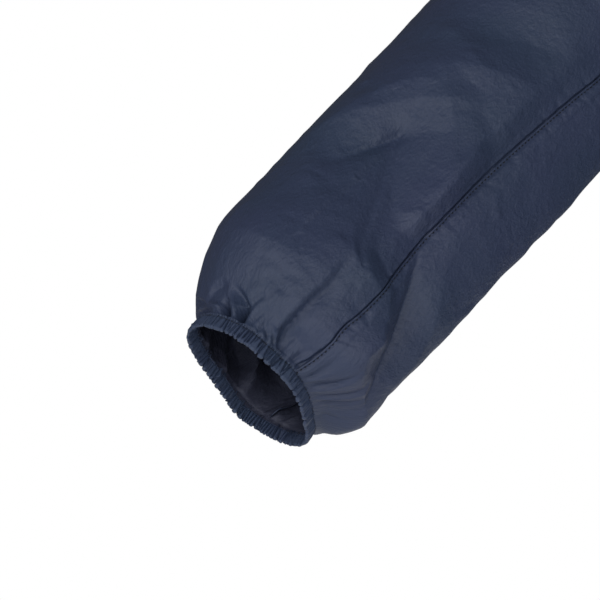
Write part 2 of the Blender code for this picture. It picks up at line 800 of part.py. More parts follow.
def boolean(obj, other, operation):
    step = obj.modifiers.new(operation.lower(), "BOOLEAN")
    step.operation = operation
    step.solver = "EXACT"
    step.object = other
    other.hide_render = True
    other.display_type = "WIRE"


def make_slider(line, collection, helpers, metal):
    """The slider with its bridge, and the pull that hangs from it."""
    top = line[-1, 2] - SLIDER_TOP
    middle = top - SLIDER_LENGTH / 2
    face = float(np.interp(middle, line[:, 2], line[:, 1]))
    front = face - SLIDER_CLEAR - PLATE / 2
    behind = face + CLOTH + TAPE_CLEAR + TAPE_WALL + SLIDER_CLEAR + PLATE / 2
    slider = add_block(
        "zip_slider",
        (SLIDER_WIDTH, PLATE, SLIDER_LENGTH),
        (0, front, middle),
        collection,
        metal,
        SLIDER_BEVEL,
    )
    plate = add_block(
        "slider_back",
        (SLIDER_BACK_WIDTH, PLATE, SLIDER_LENGTH),
        (0, behind, middle),
        helpers,
        metal,
        SLIDER_BEVEL,
    )
    post = add_block(
        "slider_post",
        (POST_WIDTH, behind - front, POST_HEIGHT),
        (0, (front + behind) / 2, top - POST_TOP - POST_HEIGHT / 2),
        helpers,
        metal,
    )
    outer_face = front - PLATE / 2
    bridge = add_block(
        "slider_bridge",
        (BRIDGE_WIDTH, BRIDGE_REACH, BRIDGE_LENGTH),
        (0, outer_face - BRIDGE_REACH / 2 + BRIDGE_SINK, middle),
        helpers,
        metal,
        SLIDER_BEVEL,
    )
    hole = add_block(
        "bridge_hole",
        (BRIDGE_WIDTH * 3, BRIDGE_HOLE_DEPTH, BRIDGE_HOLE_LENGTH),
        (0, outer_face - BRIDGE_HOLE_DEPTH / 2, middle),
        helpers,
        metal,
    )
    boolean(bridge, hole, "DIFFERENCE")
    boolean(slider, bridge, "UNION")
    boolean(slider, post, "UNION")
    boolean(slider, plate, "UNION")

    pin = (0.0, outer_face - BRIDGE_HOLE_DEPTH / 2, middle + PIN_RISE)
    pull = add_block(
        "zip_pull",
        (PULL_WIDTH, PULL_WALL, PULL_LENGTH),
        (0, pin[1], pin[2] + PULL_WALL / 2 - PULL_LENGTH / 2),
        collection,
        metal,
        PULL_BEVEL,
        pin,
    )
    window = add_block(
        "pull_window",
        (WINDOW_WIDTH, PULL_WALL * 6, WINDOW_LENGTH),
        (0, pin[1], pin[2] - PULL_WALL / 2 - WINDOW_LENGTH / 2),
        helpers,
        metal,
    )
    boolean(pull, window, "DIFFERENCE")


def make_box(line, collection, metal):
    """The box that closes the zip at the hem."""
    z = HEM_Z + BOX_RISE
    y = float(np.interp(z, line[:, 2], line[:, 1])) + BOX_SINK
    size = (BOX_WIDTH, BOX_DEPTH, BOX_LENGTH)
    add_block("zip_box", size, (0, y, z), collection, metal, BOX_BEVEL)


def make_material(name, colour, roughness, metallic):
    material = bpy.data.materials.new(name)
    material.use_nodes = True
    shader = material.node_tree.nodes["Principled BSDF"]
    shader.inputs["Base Color"].default_value = (*colour, 1.0)
    shader.inputs["Roughness"].default_value = roughness
    shader.inputs["Metallic"].default_value = metallic
    return material


def new_collection(name):
    collection = bpy.data.collections.new(name)
    bpy.context.scene.collection.children.link(collection)
    return collection


def main():
    for obj in list(bpy.data.objects):
        bpy.data.objects.remove(obj, do_unlink=True)
    jacket = new_collection("zip_jacket")
    helpers = new_collection("cutters")
    materials = {name: make_material(name, *finish) for name, finish in FINISHES.items()}
    line, edges = make_cloth(jacket, materials)
    make_cuffs(jacket, materials)
    make_zip(edges, line, jacket, materials)
    make_slider(line, jacket, helpers, materials["metal"])
    make_box(line, jacket, materials["metal"])


if __name__ == "__main__":
    main()
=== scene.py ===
"""Looks of a zip jacket in thin woven shell cloth, built round its CAD frame.

Metres and +Z up, as in the frame. The front faces -Y and the wearer's left is +X. The cloth is
made as fine grids on the garment's own form. Folds are laid out on the flat cloth, in
millimetres from the cuff and degrees round the sleeve, or in millimetres across and up the
trunk, and are turned to metres as the cloth is made.
"""

import logging
import math
from dataclasses import dataclass, field
from enum import Enum
from typing import NamedTuple

import bpy
import numpy as np
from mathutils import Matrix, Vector


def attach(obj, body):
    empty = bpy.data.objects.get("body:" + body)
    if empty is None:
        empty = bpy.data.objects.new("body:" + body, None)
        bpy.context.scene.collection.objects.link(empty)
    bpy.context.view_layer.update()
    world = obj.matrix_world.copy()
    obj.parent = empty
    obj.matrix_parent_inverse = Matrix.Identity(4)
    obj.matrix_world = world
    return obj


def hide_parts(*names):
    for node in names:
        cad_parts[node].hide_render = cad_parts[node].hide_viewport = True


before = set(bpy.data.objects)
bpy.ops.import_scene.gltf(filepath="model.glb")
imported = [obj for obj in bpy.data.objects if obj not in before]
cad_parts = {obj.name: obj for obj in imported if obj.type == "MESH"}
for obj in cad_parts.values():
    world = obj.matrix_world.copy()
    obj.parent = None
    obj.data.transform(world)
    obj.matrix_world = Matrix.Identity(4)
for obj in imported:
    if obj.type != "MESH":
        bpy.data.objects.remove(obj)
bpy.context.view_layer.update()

GARMENT = "garment"
MM = 0.001
MIRROR = np.array([-1.0, 1.0, 1.0])

log = logging.getLogger("zip_jacket")


class Side(Enum):
    """The wearer's side, with its sign along X."""

    RIGHT = -1
    LEFT = 1

    @property
    def word(self) -> str:
        """The side's word in piece names."""
        return self.name.lower()


class Face(Enum):
    """The trunk's front or back, with its sign along Y."""

    FRONT = -1
    BACK = 1


# Reading tables and easing


def ease(t: np.ndarray) -> np.ndarray:
    """A smooth step from 0 to 1."""
    t = np.clip(t, 0.0, 1.0)
    return t * t * (3 - 2 * t)


def smooth_at(rows: tuple, key: str, column: str, value: np.ndarray) -> np.ndarray:
    """Reads one column of a table smoothly at values of another.

    Args:
        rows: The table, a tuple of named tuples.
        key: The column that is read along.
        column: The column that is read.
        value: Where to read, in the key's units.

    Returns:
        The column's values there, held level past the table's ends.
    """
    ordered = sorted(rows, key=lambda row: getattr(row, key))
    knots = np.array([getattr(row, key) for row in ordered], float)
    levels = np.array([getattr(row, column) for row in ordered], float)
    slopes = np.gradient(levels, knots)
    value = np.clip(value, knots[0], knots[-1])
    i = np.clip(np.searchsorted(knots, value) - 1, 0, len(knots) - 2)
    span = knots[i + 1] - knots[i]
    t = (value - knots[i]) / span
    start = (1 + 2 * t) * (1 - t) ** 2 * levels[i] + t * (1 - t) ** 2 * span * slopes[i]
    end = t * t * (3 - 2 * t) * levels[i + 1] + t * t * (t - 1) * span * slopes[i + 1]
    return start + end


def stations(start: float, end: float, spacing: tuple) -> np.ndarray:
    """Places from start to end, as close together as a table of spacings asks.

    Args:
        start: The first place.
        end: The last place.
        spacing: Pairs of (up to this place, spacing there), in order.

    Returns:
        The places, ends included.
    """
    fine = np.linspace(start, end, 4001)
    asked = np.select([fine <= limit for limit, _ in spacing], [gap for _, gap in spacing], spacing[-1][1])
    count = np.concatenate([[0.0], np.cumsum((fine[1] - fine[0]) / asked[1:])])
    return np.interp(np.linspace(0, count[-1], int(round(count[-1])) + 1), count, fine)


# Folds


@dataclass(frozen=True)
class Fold:
    """One ridge or trough along a path on the flat cloth, in millimetres.

    path holds (across, up, height) for each turn. left and right are its reach on each side,
    looking along the path, and crisp is how far its crest is rounded.
    """

    path: tuple
    left: float
    right: float
    crisp: float = 1.2
    foot: float = 1.3

    def relief(self, across: np.ndarray, up: np.ndarray) -> np.ndarray:
        """Height of the fold at places on the cloth, all in millimetres."""
        nearest = np.full(across.shape, np.inf)
        side = np.zeros(across.shape)
        height = np.zeros(across.shape)
        for (ax, ay, ah), (bx, by, bh) in zip(self.path, self.path[1:]):
            run_x, run_y = bx - ax, by - ay
            length = run_x**2 + run_y**2
            t = np.clip(((across - ax) * run_x + (up - ay) * run_y) / length, 0.0, 1.0)
            off_x, off_y = across - ax - t * run_x, up - ay - t * run_y
            away = off_x**2 + off_y**2
            turned = (run_x * off_y - run_y * off_x) / np.sqrt(length * away + 1e-9)
            tied = (np.abs(away - nearest) < 1e-6) & (np.abs(turned) > np.abs(side))
            closer = (away < nearest - 1e-6) | tied
            nearest = np.where(closer, away, nearest)
            side = np.where(closer, turned, side)
            height = np.where(closer, ah + t * (bh - ah), height)
        reach = self.right + (self.left - self.right) * (0.5 + 0.5 * side)
        off = np.sqrt(nearest + self.crisp**2) - self.crisp
        return height * np.clip(1 - off / reach, 0.0, 1.0) ** self.foot

    def box(self) -> tuple[float, float, float, float]:
        """The fold's reach on the cloth: least and most across, least and most up."""
        reach = max(self.left, self.right) + self.crisp
        across = [point[0] for point in self.path]
        up = [point[1] for point in self.path]
        return min(across) - reach, max(across) + reach, min(up) - reach, max(up) + reach


def laid(folds: tuple, across: np.ndarray, up: np.ndarray) -> np.ndarray:
    """Adds folds up over the cloth.

    Args:
        folds: The folds to lay.
        across: Places across the cloth, in millimetres.
        up: Places up the cloth, in millimetres.

    Returns:
        The height at each place, in millimetres.
    """
    total = np.zeros(across.shape)
    for fold in folds:
        low_x, high_x, low_y, high_y = fold.box()
        near = (across > low_x) & (across < high_x) & (up > low_y) & (up < high_y)
        if near.any():
            total[near] += fold.relief(across[near], up[near])
    return total


@dataclass(frozen=True)
class Scatter:
    """Small uneven creases strewn over a stretch of cloth, the same on every run.

    Sizes are (least, most) in millimetres. lean is the mean direction of a crease in degrees
    from the across direction, and sway how far it strays from that.
    """

    seed: int
    count: int
    across: tuple[float, float]
    up: tuple[float, float]
    length: tuple[float, float]
    height: tuple[float, float]
    reach: tuple[float, float]
    lean: float = 60.0
    sway: float = 70.0
    crisp: float = 0.6

    def folds(self) -> tuple:
        """The creases, each a path with a slight bend."""
        draw = np.random.default_rng(self.seed)
        made = []
        for _ in range(self.count):
            x, y = draw.uniform(*self.across), draw.uniform(*self.up)
            size = draw.uniform(*self.length)
            turn = math.radians(draw.normal(self.lean, self.sway))
            bend = draw.normal(0, 0.35)
            height = draw.uniform(*self.height) * draw.choice((-1.0, 1.0))
            reach = draw.uniform(*self.reach)
            dx, dy = math.cos(turn) * size / 2, math.sin(turn) * size / 2
            bx, by = math.cos(turn + bend) * size / 2, math.sin(turn + bend) * size / 2
            path = ((x - dx, y - dy, 0.0), (x, y, height), (x + bx, y + by, 0.0))
            made.append(Fold(path, reach, reach * draw.uniform(0.5, 1.6), self.crisp))
        return tuple(made)


# The garment's form


class TrunkSection(NamedTuple):
    """Half width, and how far the front and back stand from the side line, at a height."""

    z: float
    half_width: float
    front: float
    back: float


@dataclass(frozen=True)
class TrunkForm:
    """The filled-out trunk, as half panels in rows from the hem and columns from the centre."""

    hem_z: float = -0.665
    zip_opening: float = 0.007
    neck_half_width: float = 0.074
    front_neck_drop: float = 0.078
    back_neck_drop: float = 0.002
    shoulder_drop: float = 0.055
    shoulder_half_width: float = 0.225
    underarm_drop: float = 0.262
    armhole_depth: float = 0.150
    armhole_lean: float = 0.006
    armhole_power: float = 1.3
    shoulder_round: float = 0.105
    plan_power: float = 2.35
    round_power: float = 2.1
    front_neck_crowd: float = 1.7
    back_neck_crowd: float = 1.25
    neck_spread: float = 0.022
    neck_spread_share: float = 0.6
    front_chest_below: float = 0.045
    back_chest_below: float = 0.012
    centre_crowd: float = 1.1
    side_crowd_share: float = 0.75
    neck_steps: int = 5
    shoulder_steps: int = 6
    side_steps: int = 8
    armhole_steps: int = 11
    sections: tuple = (
        TrunkSection(0.040, 0.236, 0.056, 0.070),
        TrunkSection(-0.055, 0.234, 0.072, 0.092),
        TrunkSection(-0.120, 0.228, 0.098, 0.112),
        TrunkSection(-0.200, 0.222, 0.126, 0.122),
        TrunkSection(-0.280, 0.217, 0.134, 0.119),
        TrunkSection(-0.400, 0.208, 0.127, 0.105),
        TrunkSection(-0.520, 0.212, 0.128, 0.113),
        TrunkSection(-0.680, 0.224, 0.134, 0.122),
    )

    def half_width(self, z: np.ndarray) -> np.ndarray:
        """The trunk's half width at a height."""
        return smooth_at(self.sections, "z", "half_width", z)

    def shoulder_line(self, x: np.ndarray) -> np.ndarray:
        """Height of the shoulder seam at x."""
        slope = self.shoulder_drop / (self.shoulder_half_width - self.neck_half_width)
        return -slope * (np.abs(x) - self.neck_half_width)

    def depth(self, x: np.ndarray, z: np.ndarray, face: Face) -> np.ndarray:
        """How far the cloth stands from the side line at (x, z)."""
        reach = smooth_at(self.sections, "z", face.name.lower(), z)
        share = np.clip(1 - (np.abs(x) / self.half_width(z)) ** self.plan_power, 0, None)
        down = np.clip((self.shoulder_line(x) - z) / self.shoulder_round, 0.0, 1.0)
        over = (1 - (1 - down) ** self.round_power) ** (1 / self.round_power)
        return reach * share ** (1 / self.plan_power) * over

    def points(self, x: np.ndarray, z: np.ndarray, face: Face) -> np.ndarray:
        """Points on the cloth at (x, z)."""
        return np.stack([x, face.value * self.depth(x, z, face), z], axis=-1)

    def armhole(self, turn: np.ndarray, face: Face) -> tuple[np.ndarray, np.ndarray]:
        """x and z along the armhole, from 0 at the underarm to 1 at the shoulder point."""
        middle = -(self.shoulder_drop + self.underarm_drop) / 2
        z = middle - (self.underarm_drop - self.shoulder_drop) / 2 * np.cos(np.pi * turn)
        bulge = np.sin(np.pi * np.clip(turn, 0, 1))
        y = self.armhole_depth / 2 * np.clip(bulge, 0, 1) ** self.armhole_power
        low, high = np.full(turn.shape, 0.10), self.half_width(z)
        for _ in range(50):
            x = (low + high) / 2
            inside = self.depth(x, z, face) > y
            low, high = np.where(inside, x, low), np.where(inside, high, x)
        x = x - self.armhole_lean * bulge
        x = np.where(turn <= 0, self.half_width(z), x)
        x = np.where(turn >= 1, self.shoulder_half_width, x)
        return x, np.where(turn >= 1, -self.shoulder_drop, z)

    def neckline(self, turn: np.ndarray, face: Face) -> tuple[np.ndarray, np.ndarray]:
        """x and z along the neckline, from 0 at the centre to 1 at the shoulder seam."""
        front = face is Face.FRONT
        drop = self.front_neck_drop if front else self.back_neck_drop
        crowd = self.front_neck_crowd if front else self.back_neck_crowd
        start = self.zip_opening / 2 if front else 0.0
        angle = np.pi / 2 * (1 - (1 - turn) ** crowd)
        x = start + (self.neck_half_width - start) * np.sin(angle)
        return x, -drop * np.cos(angle)

    def half(self, face: Face, fineness: int) -> tuple[np.ndarray, np.ndarray]:
        """Lays a half panel out flat, within its centre line, hem, side, armhole and top.

        Args:
            face: Front or back.
            fineness: How many cells stand for each step of the form.

        Returns:
            x and z of each grid point, by row and column.
        """
        front = face is Face.FRONT
        start = self.zip_opening / 2 if front else 0.0
        drop = self.front_neck_drop if front else self.back_neck_drop
        chest = -self.underarm_drop - (self.front_chest_below if front else self.back_chest_below)
        below = np.linspace(0, 1, self.side_steps * fineness + 1)[:-1]
        above = np.linspace(0, 1, self.armhole_steps * fineness + 1)
        rise = np.sin(np.pi / 2 * above) ** self.centre_crowd
        centre_z = np.concatenate([self.hem_z + (chest - self.hem_z) * below, chest + (-drop - chest) * rise])
        side_z = self.hem_z + (-self.underarm_drop - self.hem_z) * below
        hole_x, hole_z = self.armhole(above, face)
        edge = np.stack([np.append(self.half_width(side_z), hole_x), np.append(side_z, hole_z)], axis=-1)
        neck_x, neck_z = self.neckline(np.linspace(0, 1, self.neck_steps * fineness + 1)[:-1], face)
        out = np.linspace(0, 1, self.shoulder_steps * fineness + 1)
        seam_x = self.neck_half_width + (self.shoulder_half_width - self.neck_half_width) * out
        top_z = np.append(neck_z, self.shoulder_line(seam_x))
        top = np.stack([np.append(neck_x, seam_x), top_z], axis=-1)
        u = np.linspace(0, 1, len(top))[None, :, None]
        v = np.linspace(0, 1, len(edge))[:, None, None]
        hem_x = start + (edge[0, 0] - start) * np.sin(np.pi / 2 * u[0, :, 0])
        hem = np.stack([hem_x, np.full(hem_x.shape, self.hem_z)], axis=-1)
        centre = np.stack([np.full(centre_z.shape, start), centre_z], axis=-1)
        flat = (1 - u) * centre[:, None] + u * edge[:, None] + (1 - v) * hem[None] + v * top[None]
        flat = flat - (1 - u) * (1 - v) * centre[0] - u * (1 - v) * edge[0]
        flat = flat - (1 - u) * v * centre[-1] - u * v * edge[-1]
        x, z, u, v = flat[..., 0], flat[..., 1], u[..., 0], v[..., 0]
        spread = start + (edge[:, :1] - start) * np.sin(np.pi / 2 * u)
        x = x + (spread - x) * (1 - ease(v / self.side_crowd_share)) * np.minimum(1, 4 * u * (1 - u))
        column = np.arange(len(top))[None] / (2 * self.neck_steps * fineness)
        beside = np.sin(np.pi * np.minimum(1.0, column)) ** 2
        under = np.minimum(1.0, (1 - v) / self.neck_spread_share)
        x = np.minimum(x + self.neck_spread * beside * np.sin(np.pi * under), edge[:, :1])
        return x, z


class ArmStation(NamedTuple):
    """The arm's slope below level, and how far it points forward, along the arm."""

    along: float
    drop_deg: float
    forward_deg: float


class SleeveSection(NamedTuple):
    """Reach from the arm's line to each side, at a distance above the casing."""

    from_cuff: float
    upper: float
    lower: float
    front: float
    back: float


class MouthReach(NamedTuple):
    """Reach from the mouth's centre, by angle round the sleeve."""

    round_deg: float
    reach: float


class SeamPlace(NamedTuple):
    """The front seam's angle round the sleeve, by distance above the casing in millimetres."""

    from_cuff: float
    round_deg: float


@dataclass(frozen=True)
class SleeveForm:
    """The filled-out right sleeve. Angles run from the underarm line, and 90 faces forward."""

    trunk: TrunkForm = TrunkForm()
    length: float = 0.560
    seam_deg: float = 70.0
    cap_reach: float = 0.20
    cap_power: float = 0.8
    under_steps: int = 4
    mouth_upper: float = 0.036
    mouth_lower: float = 0.009
    mouth_power: float = 1.5
    arm: tuple = (
        ArmStation(0.00, 27.0, 1.0),
        ArmStation(0.09, 38.5, 4.0),
        ArmStation(0.18, 45.5, 8.0),
        ArmStation(0.29, 47.0, 16.0),
        ArmStation(0.36, 47.2, 23.0),
        ArmStation(0.50, 47.2, 26.0),
        ArmStation(0.52, 51.0, 26.5),
        ArmStation(0.545, 60.0, 27.0),
        ArmStation(0.56, 51.5, 27.0),
    )
    sections: tuple = (
        SleeveSection(0.000, 0.0425, 0.0520, 0.0360, 0.0400),
        SleeveSection(0.006, 0.0496, 0.0556, 0.0390, 0.0425),
        SleeveSection(0.014, 0.0520, 0.0584, 0.0422, 0.0450),
        SleeveSection(0.026, 0.0552, 0.0594, 0.0460, 0.0475),
        SleeveSection(0.038, 0.0584, 0.0604, 0.0480, 0.0495),
        SleeveSection(0.046, 0.0608, 0.0608, 0.0490, 0.0505),
        SleeveSection(0.070, 0.0628, 0.0590, 0.0500, 0.0510),
        SleeveSection(0.110, 0.0654, 0.0541, 0.0512, 0.0520),
        SleeveSection(0.150, 0.0680, 0.0545, 0.0530, 0.0530),
        SleeveSection(0.260, 0.0710, 0.0622, 0.0570, 0.0580),
        SleeveSection(0.380, 0.0750, 0.0740, 0.0640, 0.0650),
        SleeveSection(0.560, 0.0800, 0.0800, 0.0740, 0.0740),
    )
    mouth: tuple = (
        MouthReach(0, 0.0340),
        MouthReach(20, 0.0306),
        MouthReach(45, 0.0304),
        MouthReach(70, 0.0318),
        MouthReach(95, 0.0336),
        MouthReach(115, 0.0386),
        MouthReach(135, 0.0420),
        MouthReach(155, 0.0438),
        MouthReach(180, 0.0421),
        MouthReach(205, 0.0368),
        MouthReach(232, 0.0326),
        MouthReach(255, 0.0350),
        MouthReach(275, 0.0422),
        MouthReach(300, 0.0440),
        MouthReach(320, 0.0450),
        MouthReach(340, 0.0415),
    )
    front_seam: tuple = (
        SeamPlace(0, 69.5),
        SeamPlace(60, 69.2),
        SeamPlace(95, 70.0),
        SeamPlace(130, 71.2),
        SeamPlace(160, 70.0),
        SeamPlace(190, 67.8),
        SeamPlace(220, 65.8),
        SeamPlace(250, 63.0),
        SeamPlace(290, 66.0),
        SeamPlace(360, 70.0),
    )

    def arm_line(self) -> tuple[np.ndarray, np.ndarray, np.ndarray]:
        """Finely spaced distances along the arm, with the point and direction at each."""
        steps = 280
        along = np.linspace(0.0, self.length, steps + 1)
        drop = np.radians(smooth_at(self.arm, "along", "drop_deg", along))
        forward = np.radians(smooth_at(self.arm, "along", "forward_deg", along))
        level = np.cos(forward)
        ways = np.stack([-level * np.cos(drop), -np.sin(forward), -level * np.sin(drop)], axis=1)
        hops = (ways[1:] + ways[:-1]) / 2 * (self.length / steps)
        return along, np.vstack([np.zeros(3), np.cumsum(hops, axis=0)]), ways

    def armhole(self, round_deg: np.ndarray) -> np.ndarray:
        """Points of the right armhole by angle round the sleeve."""
        folded = np.mod(round_deg, 360.0)
        behind = folded > 180
        folded = np.where(behind, 360 - folded, folded)
        share = self.under_steps / self.trunk.armhole_steps
        low = folded / self.seam_deg * share
        high = share + (folded - self.seam_deg) / (180 - self.seam_deg) * (1 - share)
        turn = np.where(folded < self.seam_deg, low, high)
        found = np.zeros(turn.shape + (3,))
        for face, chosen in ((Face.FRONT, ~behind), (Face.BACK, behind)):
            x, z = self.trunk.armhole(turn, face)
            found = np.where(chosen[..., None], self.trunk.points(x, z, face), found)
        return found * MIRROR

    def root(self) -> np.ndarray:
        """The armhole's middle, where the arm's line starts."""
        steps = self.trunk.armhole_steps
        front_x, front_z = self.trunk.armhole(np.arange(steps + 1) / steps, Face.FRONT)
        back_x, back_z = self.trunk.armhole(np.arange(1, steps) / steps, Face.BACK)
        front = self.trunk.points(front_x, front_z, Face.FRONT)
        back = self.trunk.points(back_x, back_z, Face.BACK)
        return np.vstack([front, back]).mean(axis=0) * MIRROR

    def mouth_reach(self, round_deg: np.ndarray) -> np.ndarray:
        """The mouth's reach by angle, read smoothly all the way round."""
        first, last = self.mouth[0], self.mouth[-1]
        closed = (last._replace(round_deg=last.round_deg - 360),) + self.mouth
        closed += (first._replace(round_deg=360),)
        return smooth_at(closed, "round_deg", "reach", np.mod(round_deg, 360.0))

    def points(self, from_cuff: np.ndarray, round_deg: np.ndarray) -> np.ndarray:
        """Points of the right sleeve with no folds in it.

        Args:
            from_cuff: Distance of each row above the casing, in metres.
            round_deg: Angles round the sleeve, by row and column.

        Returns:
            Points by row and column.
        """
        along_all, centres, ways = self.arm_line()
        along = self.length - from_cuff
        centre = np.stack([np.interp(along, along_all, centres[:, k]) for k in range(3)], axis=1)
        axis = np.stack([np.interp(along, along_all, ways[:, k]) for k in range(3)], axis=1)
        axis /= np.linalg.norm(axis, axis=1, keepdims=True)
        forward = np.array([0.0, -1.0, 0.0]) + axis * axis[:, 1:2]
        forward /= np.linalg.norm(forward, axis=1, keepdims=True)
        upward = np.cross(axis, forward)
        upward *= np.where(upward[:, 2:3] < 0, -1.0, 1.0)
        reach = {
            side: smooth_at(self.sections, "from_cuff", side, from_cuff)[:, None]
            for side in ("upper", "lower", "front", "back")
        }
        angle = np.radians(round_deg)
        rise, face = -np.cos(angle), np.sin(angle)
        tall = rise * np.where(rise > 0, reach["upper"], reach["lower"])
        wide = face * np.where(face > 0, reach["front"], reach["back"])
        felt = self.mouth_lower + (self.mouth_upper - self.mouth_lower) * (1 + rise) / 2
        drawn = np.clip(1 - from_cuff[:, None] / felt, 0, 1) ** self.mouth_power
        mouth = self.mouth_reach(round_deg)
        tall = tall + drawn * (rise * mouth - tall)
        wide = wide + drawn * (face * mouth - wide)
        oval = upward[:, None] * tall[..., None] + forward[:, None] * wide[..., None]
        blend = (ease(along / self.cap_reach) ** self.cap_power)[:, None, None]
        root = self.root()
        turns = np.linspace(-180, 540, 1441)
        loop = self.armhole(turns) - root
        top = np.stack([np.interp(round_deg, turns, loop[:, k]) for k in range(3)], axis=-1)
        return root + centre[:, None] + (1 - blend) * top + blend * oval


# Cloth as grids


def unit(vectors: np.ndarray) -> np.ndarray:
    """Vectors at length one."""
    return vectors / np.maximum(np.linalg.norm(vectors, axis=-1, keepdims=True), 1e-12)


def normals_of(points: np.ndarray, outward: np.ndarray) -> np.ndarray:
    """Normals of a grid, turned to the side that outward points to on the whole."""
    square = unit(np.cross(np.gradient(points, axis=1), np.gradient(points, axis=0)))
    return square if np.sum(square * outward) > 0 else -square


@dataclass
class Panel:
    """A panel of cloth as a grid: its outer face, normals and place on the flat cloth."""

    name: str
    points: np.ndarray
    normals: np.ndarray
    flat: np.ndarray
    wall: float = 0.0005

    def raised(self, height: np.ndarray) -> "Panel":
        """The panel with its face moved out along its normals by heights in metres."""
        moved = self.points + self.normals * height[..., None]
        return Panel(self.name, moved, normals_of(moved, self.normals), self.flat, self.wall)

    def mirrored(self, name: str) -> "Panel":
        """The same panel for the wearer's other side."""
        return Panel(name, self.points * MIRROR, self.normals * MIRROR, self.flat * [-1, 1], self.wall)

    def area(self) -> float:
        """Area of the outer face, in square metres."""
        a, b = self.points[1:, 1:] - self.points[:-1, :-1], self.points[1:, :-1] - self.points[:-1, 1:]
        return float(np.linalg.norm(np.cross(a, b), axis=-1).sum() / 2)

    def beside(self, edge: str, offset: float) -> tuple[np.ndarray, np.ndarray]:
        """A line on the cloth beside one of its edges.

        Args:
            edge: left, right, low or high, by the grid's columns and rows.
            offset: Distance from the edge, in metres.

        Returns:
            Points and normals along the line.
        """
        points, normals = self.points, self.normals
        if edge in ("low", "high"):
            points, normals = points.swapaxes(0, 1), normals.swapaxes(0, 1)
        if edge in ("right", "high"):
            points, normals = points[:, ::-1], normals[:, ::-1]
        hops = np.linalg.norm(np.diff(points[:, :40], axis=1), axis=2)
        run = np.concatenate([np.zeros((len(hops), 1)), np.cumsum(hops, axis=1)], axis=1)
        placed, faced = [], []
        for row in range(len(points)):
            width = run.shape[1]
            placed.append([np.interp(offset, run[row], points[row, :width, k]) for k in range(3)])
            faced.append([np.interp(offset, run[row], normals[row, :width, k]) for k in range(3)])
        return np.array(placed), unit(np.array(faced))

    def edge_distance(self, edge: str) -> np.ndarray:
        """How far each point is from an edge along the cloth, in metres."""
        axis = 1 if edge in ("left", "right") else 0
        hops = np.linalg.norm(np.diff(self.points, axis=axis), axis=2)
        start = np.zeros_like(np.take(hops, [0], axis=axis))
        if edge in ("left", "low"):
            return np.concatenate([start, np.cumsum(hops, axis=axis)], axis=axis)
        back = np.flip(np.cumsum(np.flip(hops, axis), axis=axis), axis)
        return np.concatenate([back, start], axis=axis)

    def build(
        self, material: bpy.types.Material, painted_shade_inside: bpy.types.Material | None = None
    ) -> bpy.types.Object:
        """Makes the panel a closed thin shell.

        Args:
            material: The finish of its outer face.
            painted_shade_inside: The finish of its inner face, the cloth darkened as painted shade, or None
                where it is the same.

        Returns:
            The new piece.
        """
        rows, columns = self.points.shape[:2]
        inner = self.points - self.normals * self.wall
        points = np.concatenate([self.points.reshape(-1, 3), inner.reshape(-1, 3)])
        at = np.arange(rows * columns).reshape(rows, columns)
        outer = np.stack([at[:-1, :-1], at[:-1, 1:], at[1:, 1:], at[1:, :-1]], axis=-1).reshape(-1, 4)
        middle = self.points.reshape(-1, 3)[outer[:, :]]
        facing = np.cross(middle[:, 1] - middle[:, 0], middle[:, 3] - middle[:, 0])
        if np.sum(facing * self.normals.reshape(-1, 3)[outer[:, 0]]) < 0:
            outer = outer[:, ::-1]
        back = outer[:, ::-1] + rows * columns
        rim = np.concatenate([at[0, :], at[1:, -1], at[-1, -2::-1], at[-2:0:-1, 0]])
        ahead = np.roll(rim, -1)
        depth = rows * columns
        border = np.stack([rim, ahead, ahead + depth, rim + depth], axis=-1)
        first = {tuple(sorted((quad[k], quad[(k + 1) % 4]))): quad[k] for quad in outer[:1] for k in range(4)}
        along = (min(at[0, 0], at[0, 1]), max(at[0, 0], at[0, 1]))
        if first.get(along) == at[0, 0]:
            border = border[:, ::-1]
        faces = np.concatenate([outer, back, border])
        flat = np.concatenate([self.flat.reshape(-1, 2)] * 2)
        piece = mesh_object(f"{self.name}_cloth", points, faces, flat, material)
        # The inner faces take the darker inside finish, which is painted shade.
        if painted_shade_inside is not None:
            piece.data.materials.append(painted_shade_inside)
            slots = np.zeros(len(faces), np.int32)
            slots[len(outer) : 2 * len(outer)] = 1
            piece.data.polygons.foreach_set("material_index", slots)
        return piece


def mesh_object(
    name: str, points: np.ndarray, faces: np.ndarray, flat: np.ndarray | None, material: bpy.types.Material
) -> bpy.types.Object:
    """Makes an object of faces that all have three or all four corners.

    Args:
        name: The piece's name.
        points: Its points, in metres.
        faces: Three or four point numbers for each face.
        flat: The place on the flat cloth for each point, kept as its UV map, or None.
        material: Its finish.

    Returns:
        The new object, at the origin.
    """
    mesh = bpy.data.meshes.new(name)
    mesh.vertices.add(len(points))
    mesh.vertices.foreach_set("co", np.ascontiguousarray(points, np.float32).ravel())
    mesh.loops.add(faces.size)
    mesh.loops.foreach_set("vertex_index", faces.astype(np.int32).ravel())
    mesh.polygons.add(len(faces))
    mesh.polygons.foreach_set("loop_start", np.arange(0, faces.size, faces.shape[1], dtype=np.int32))
    mesh.update(calc_edges=True)
    if flat is not None:
        layer = mesh.uv_layers.new(name="cloth")
        layer.uv.foreach_set("vector", flat[faces.ravel()].astype(np.float32).ravel())
    mesh.shade_smooth()
    mesh.set_sharp_from_angle(angle=math.radians(60))
    mesh.materials.append(material)
    obj = bpy.data.objects.new(name, mesh)
    bpy.context.scene.collection.objects.link(obj)
    return obj


def show(piece: bpy.types.Object, slot: str, *nodes: str) -> None:
    """Rides a piece on the garment and hides the nodes that it stands for."""
    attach(piece, GARMENT)
    if nodes:
        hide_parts(*nodes)
    log.info("%s: %d faces", piece.name, len(piece.data.polygons))


# Finishes


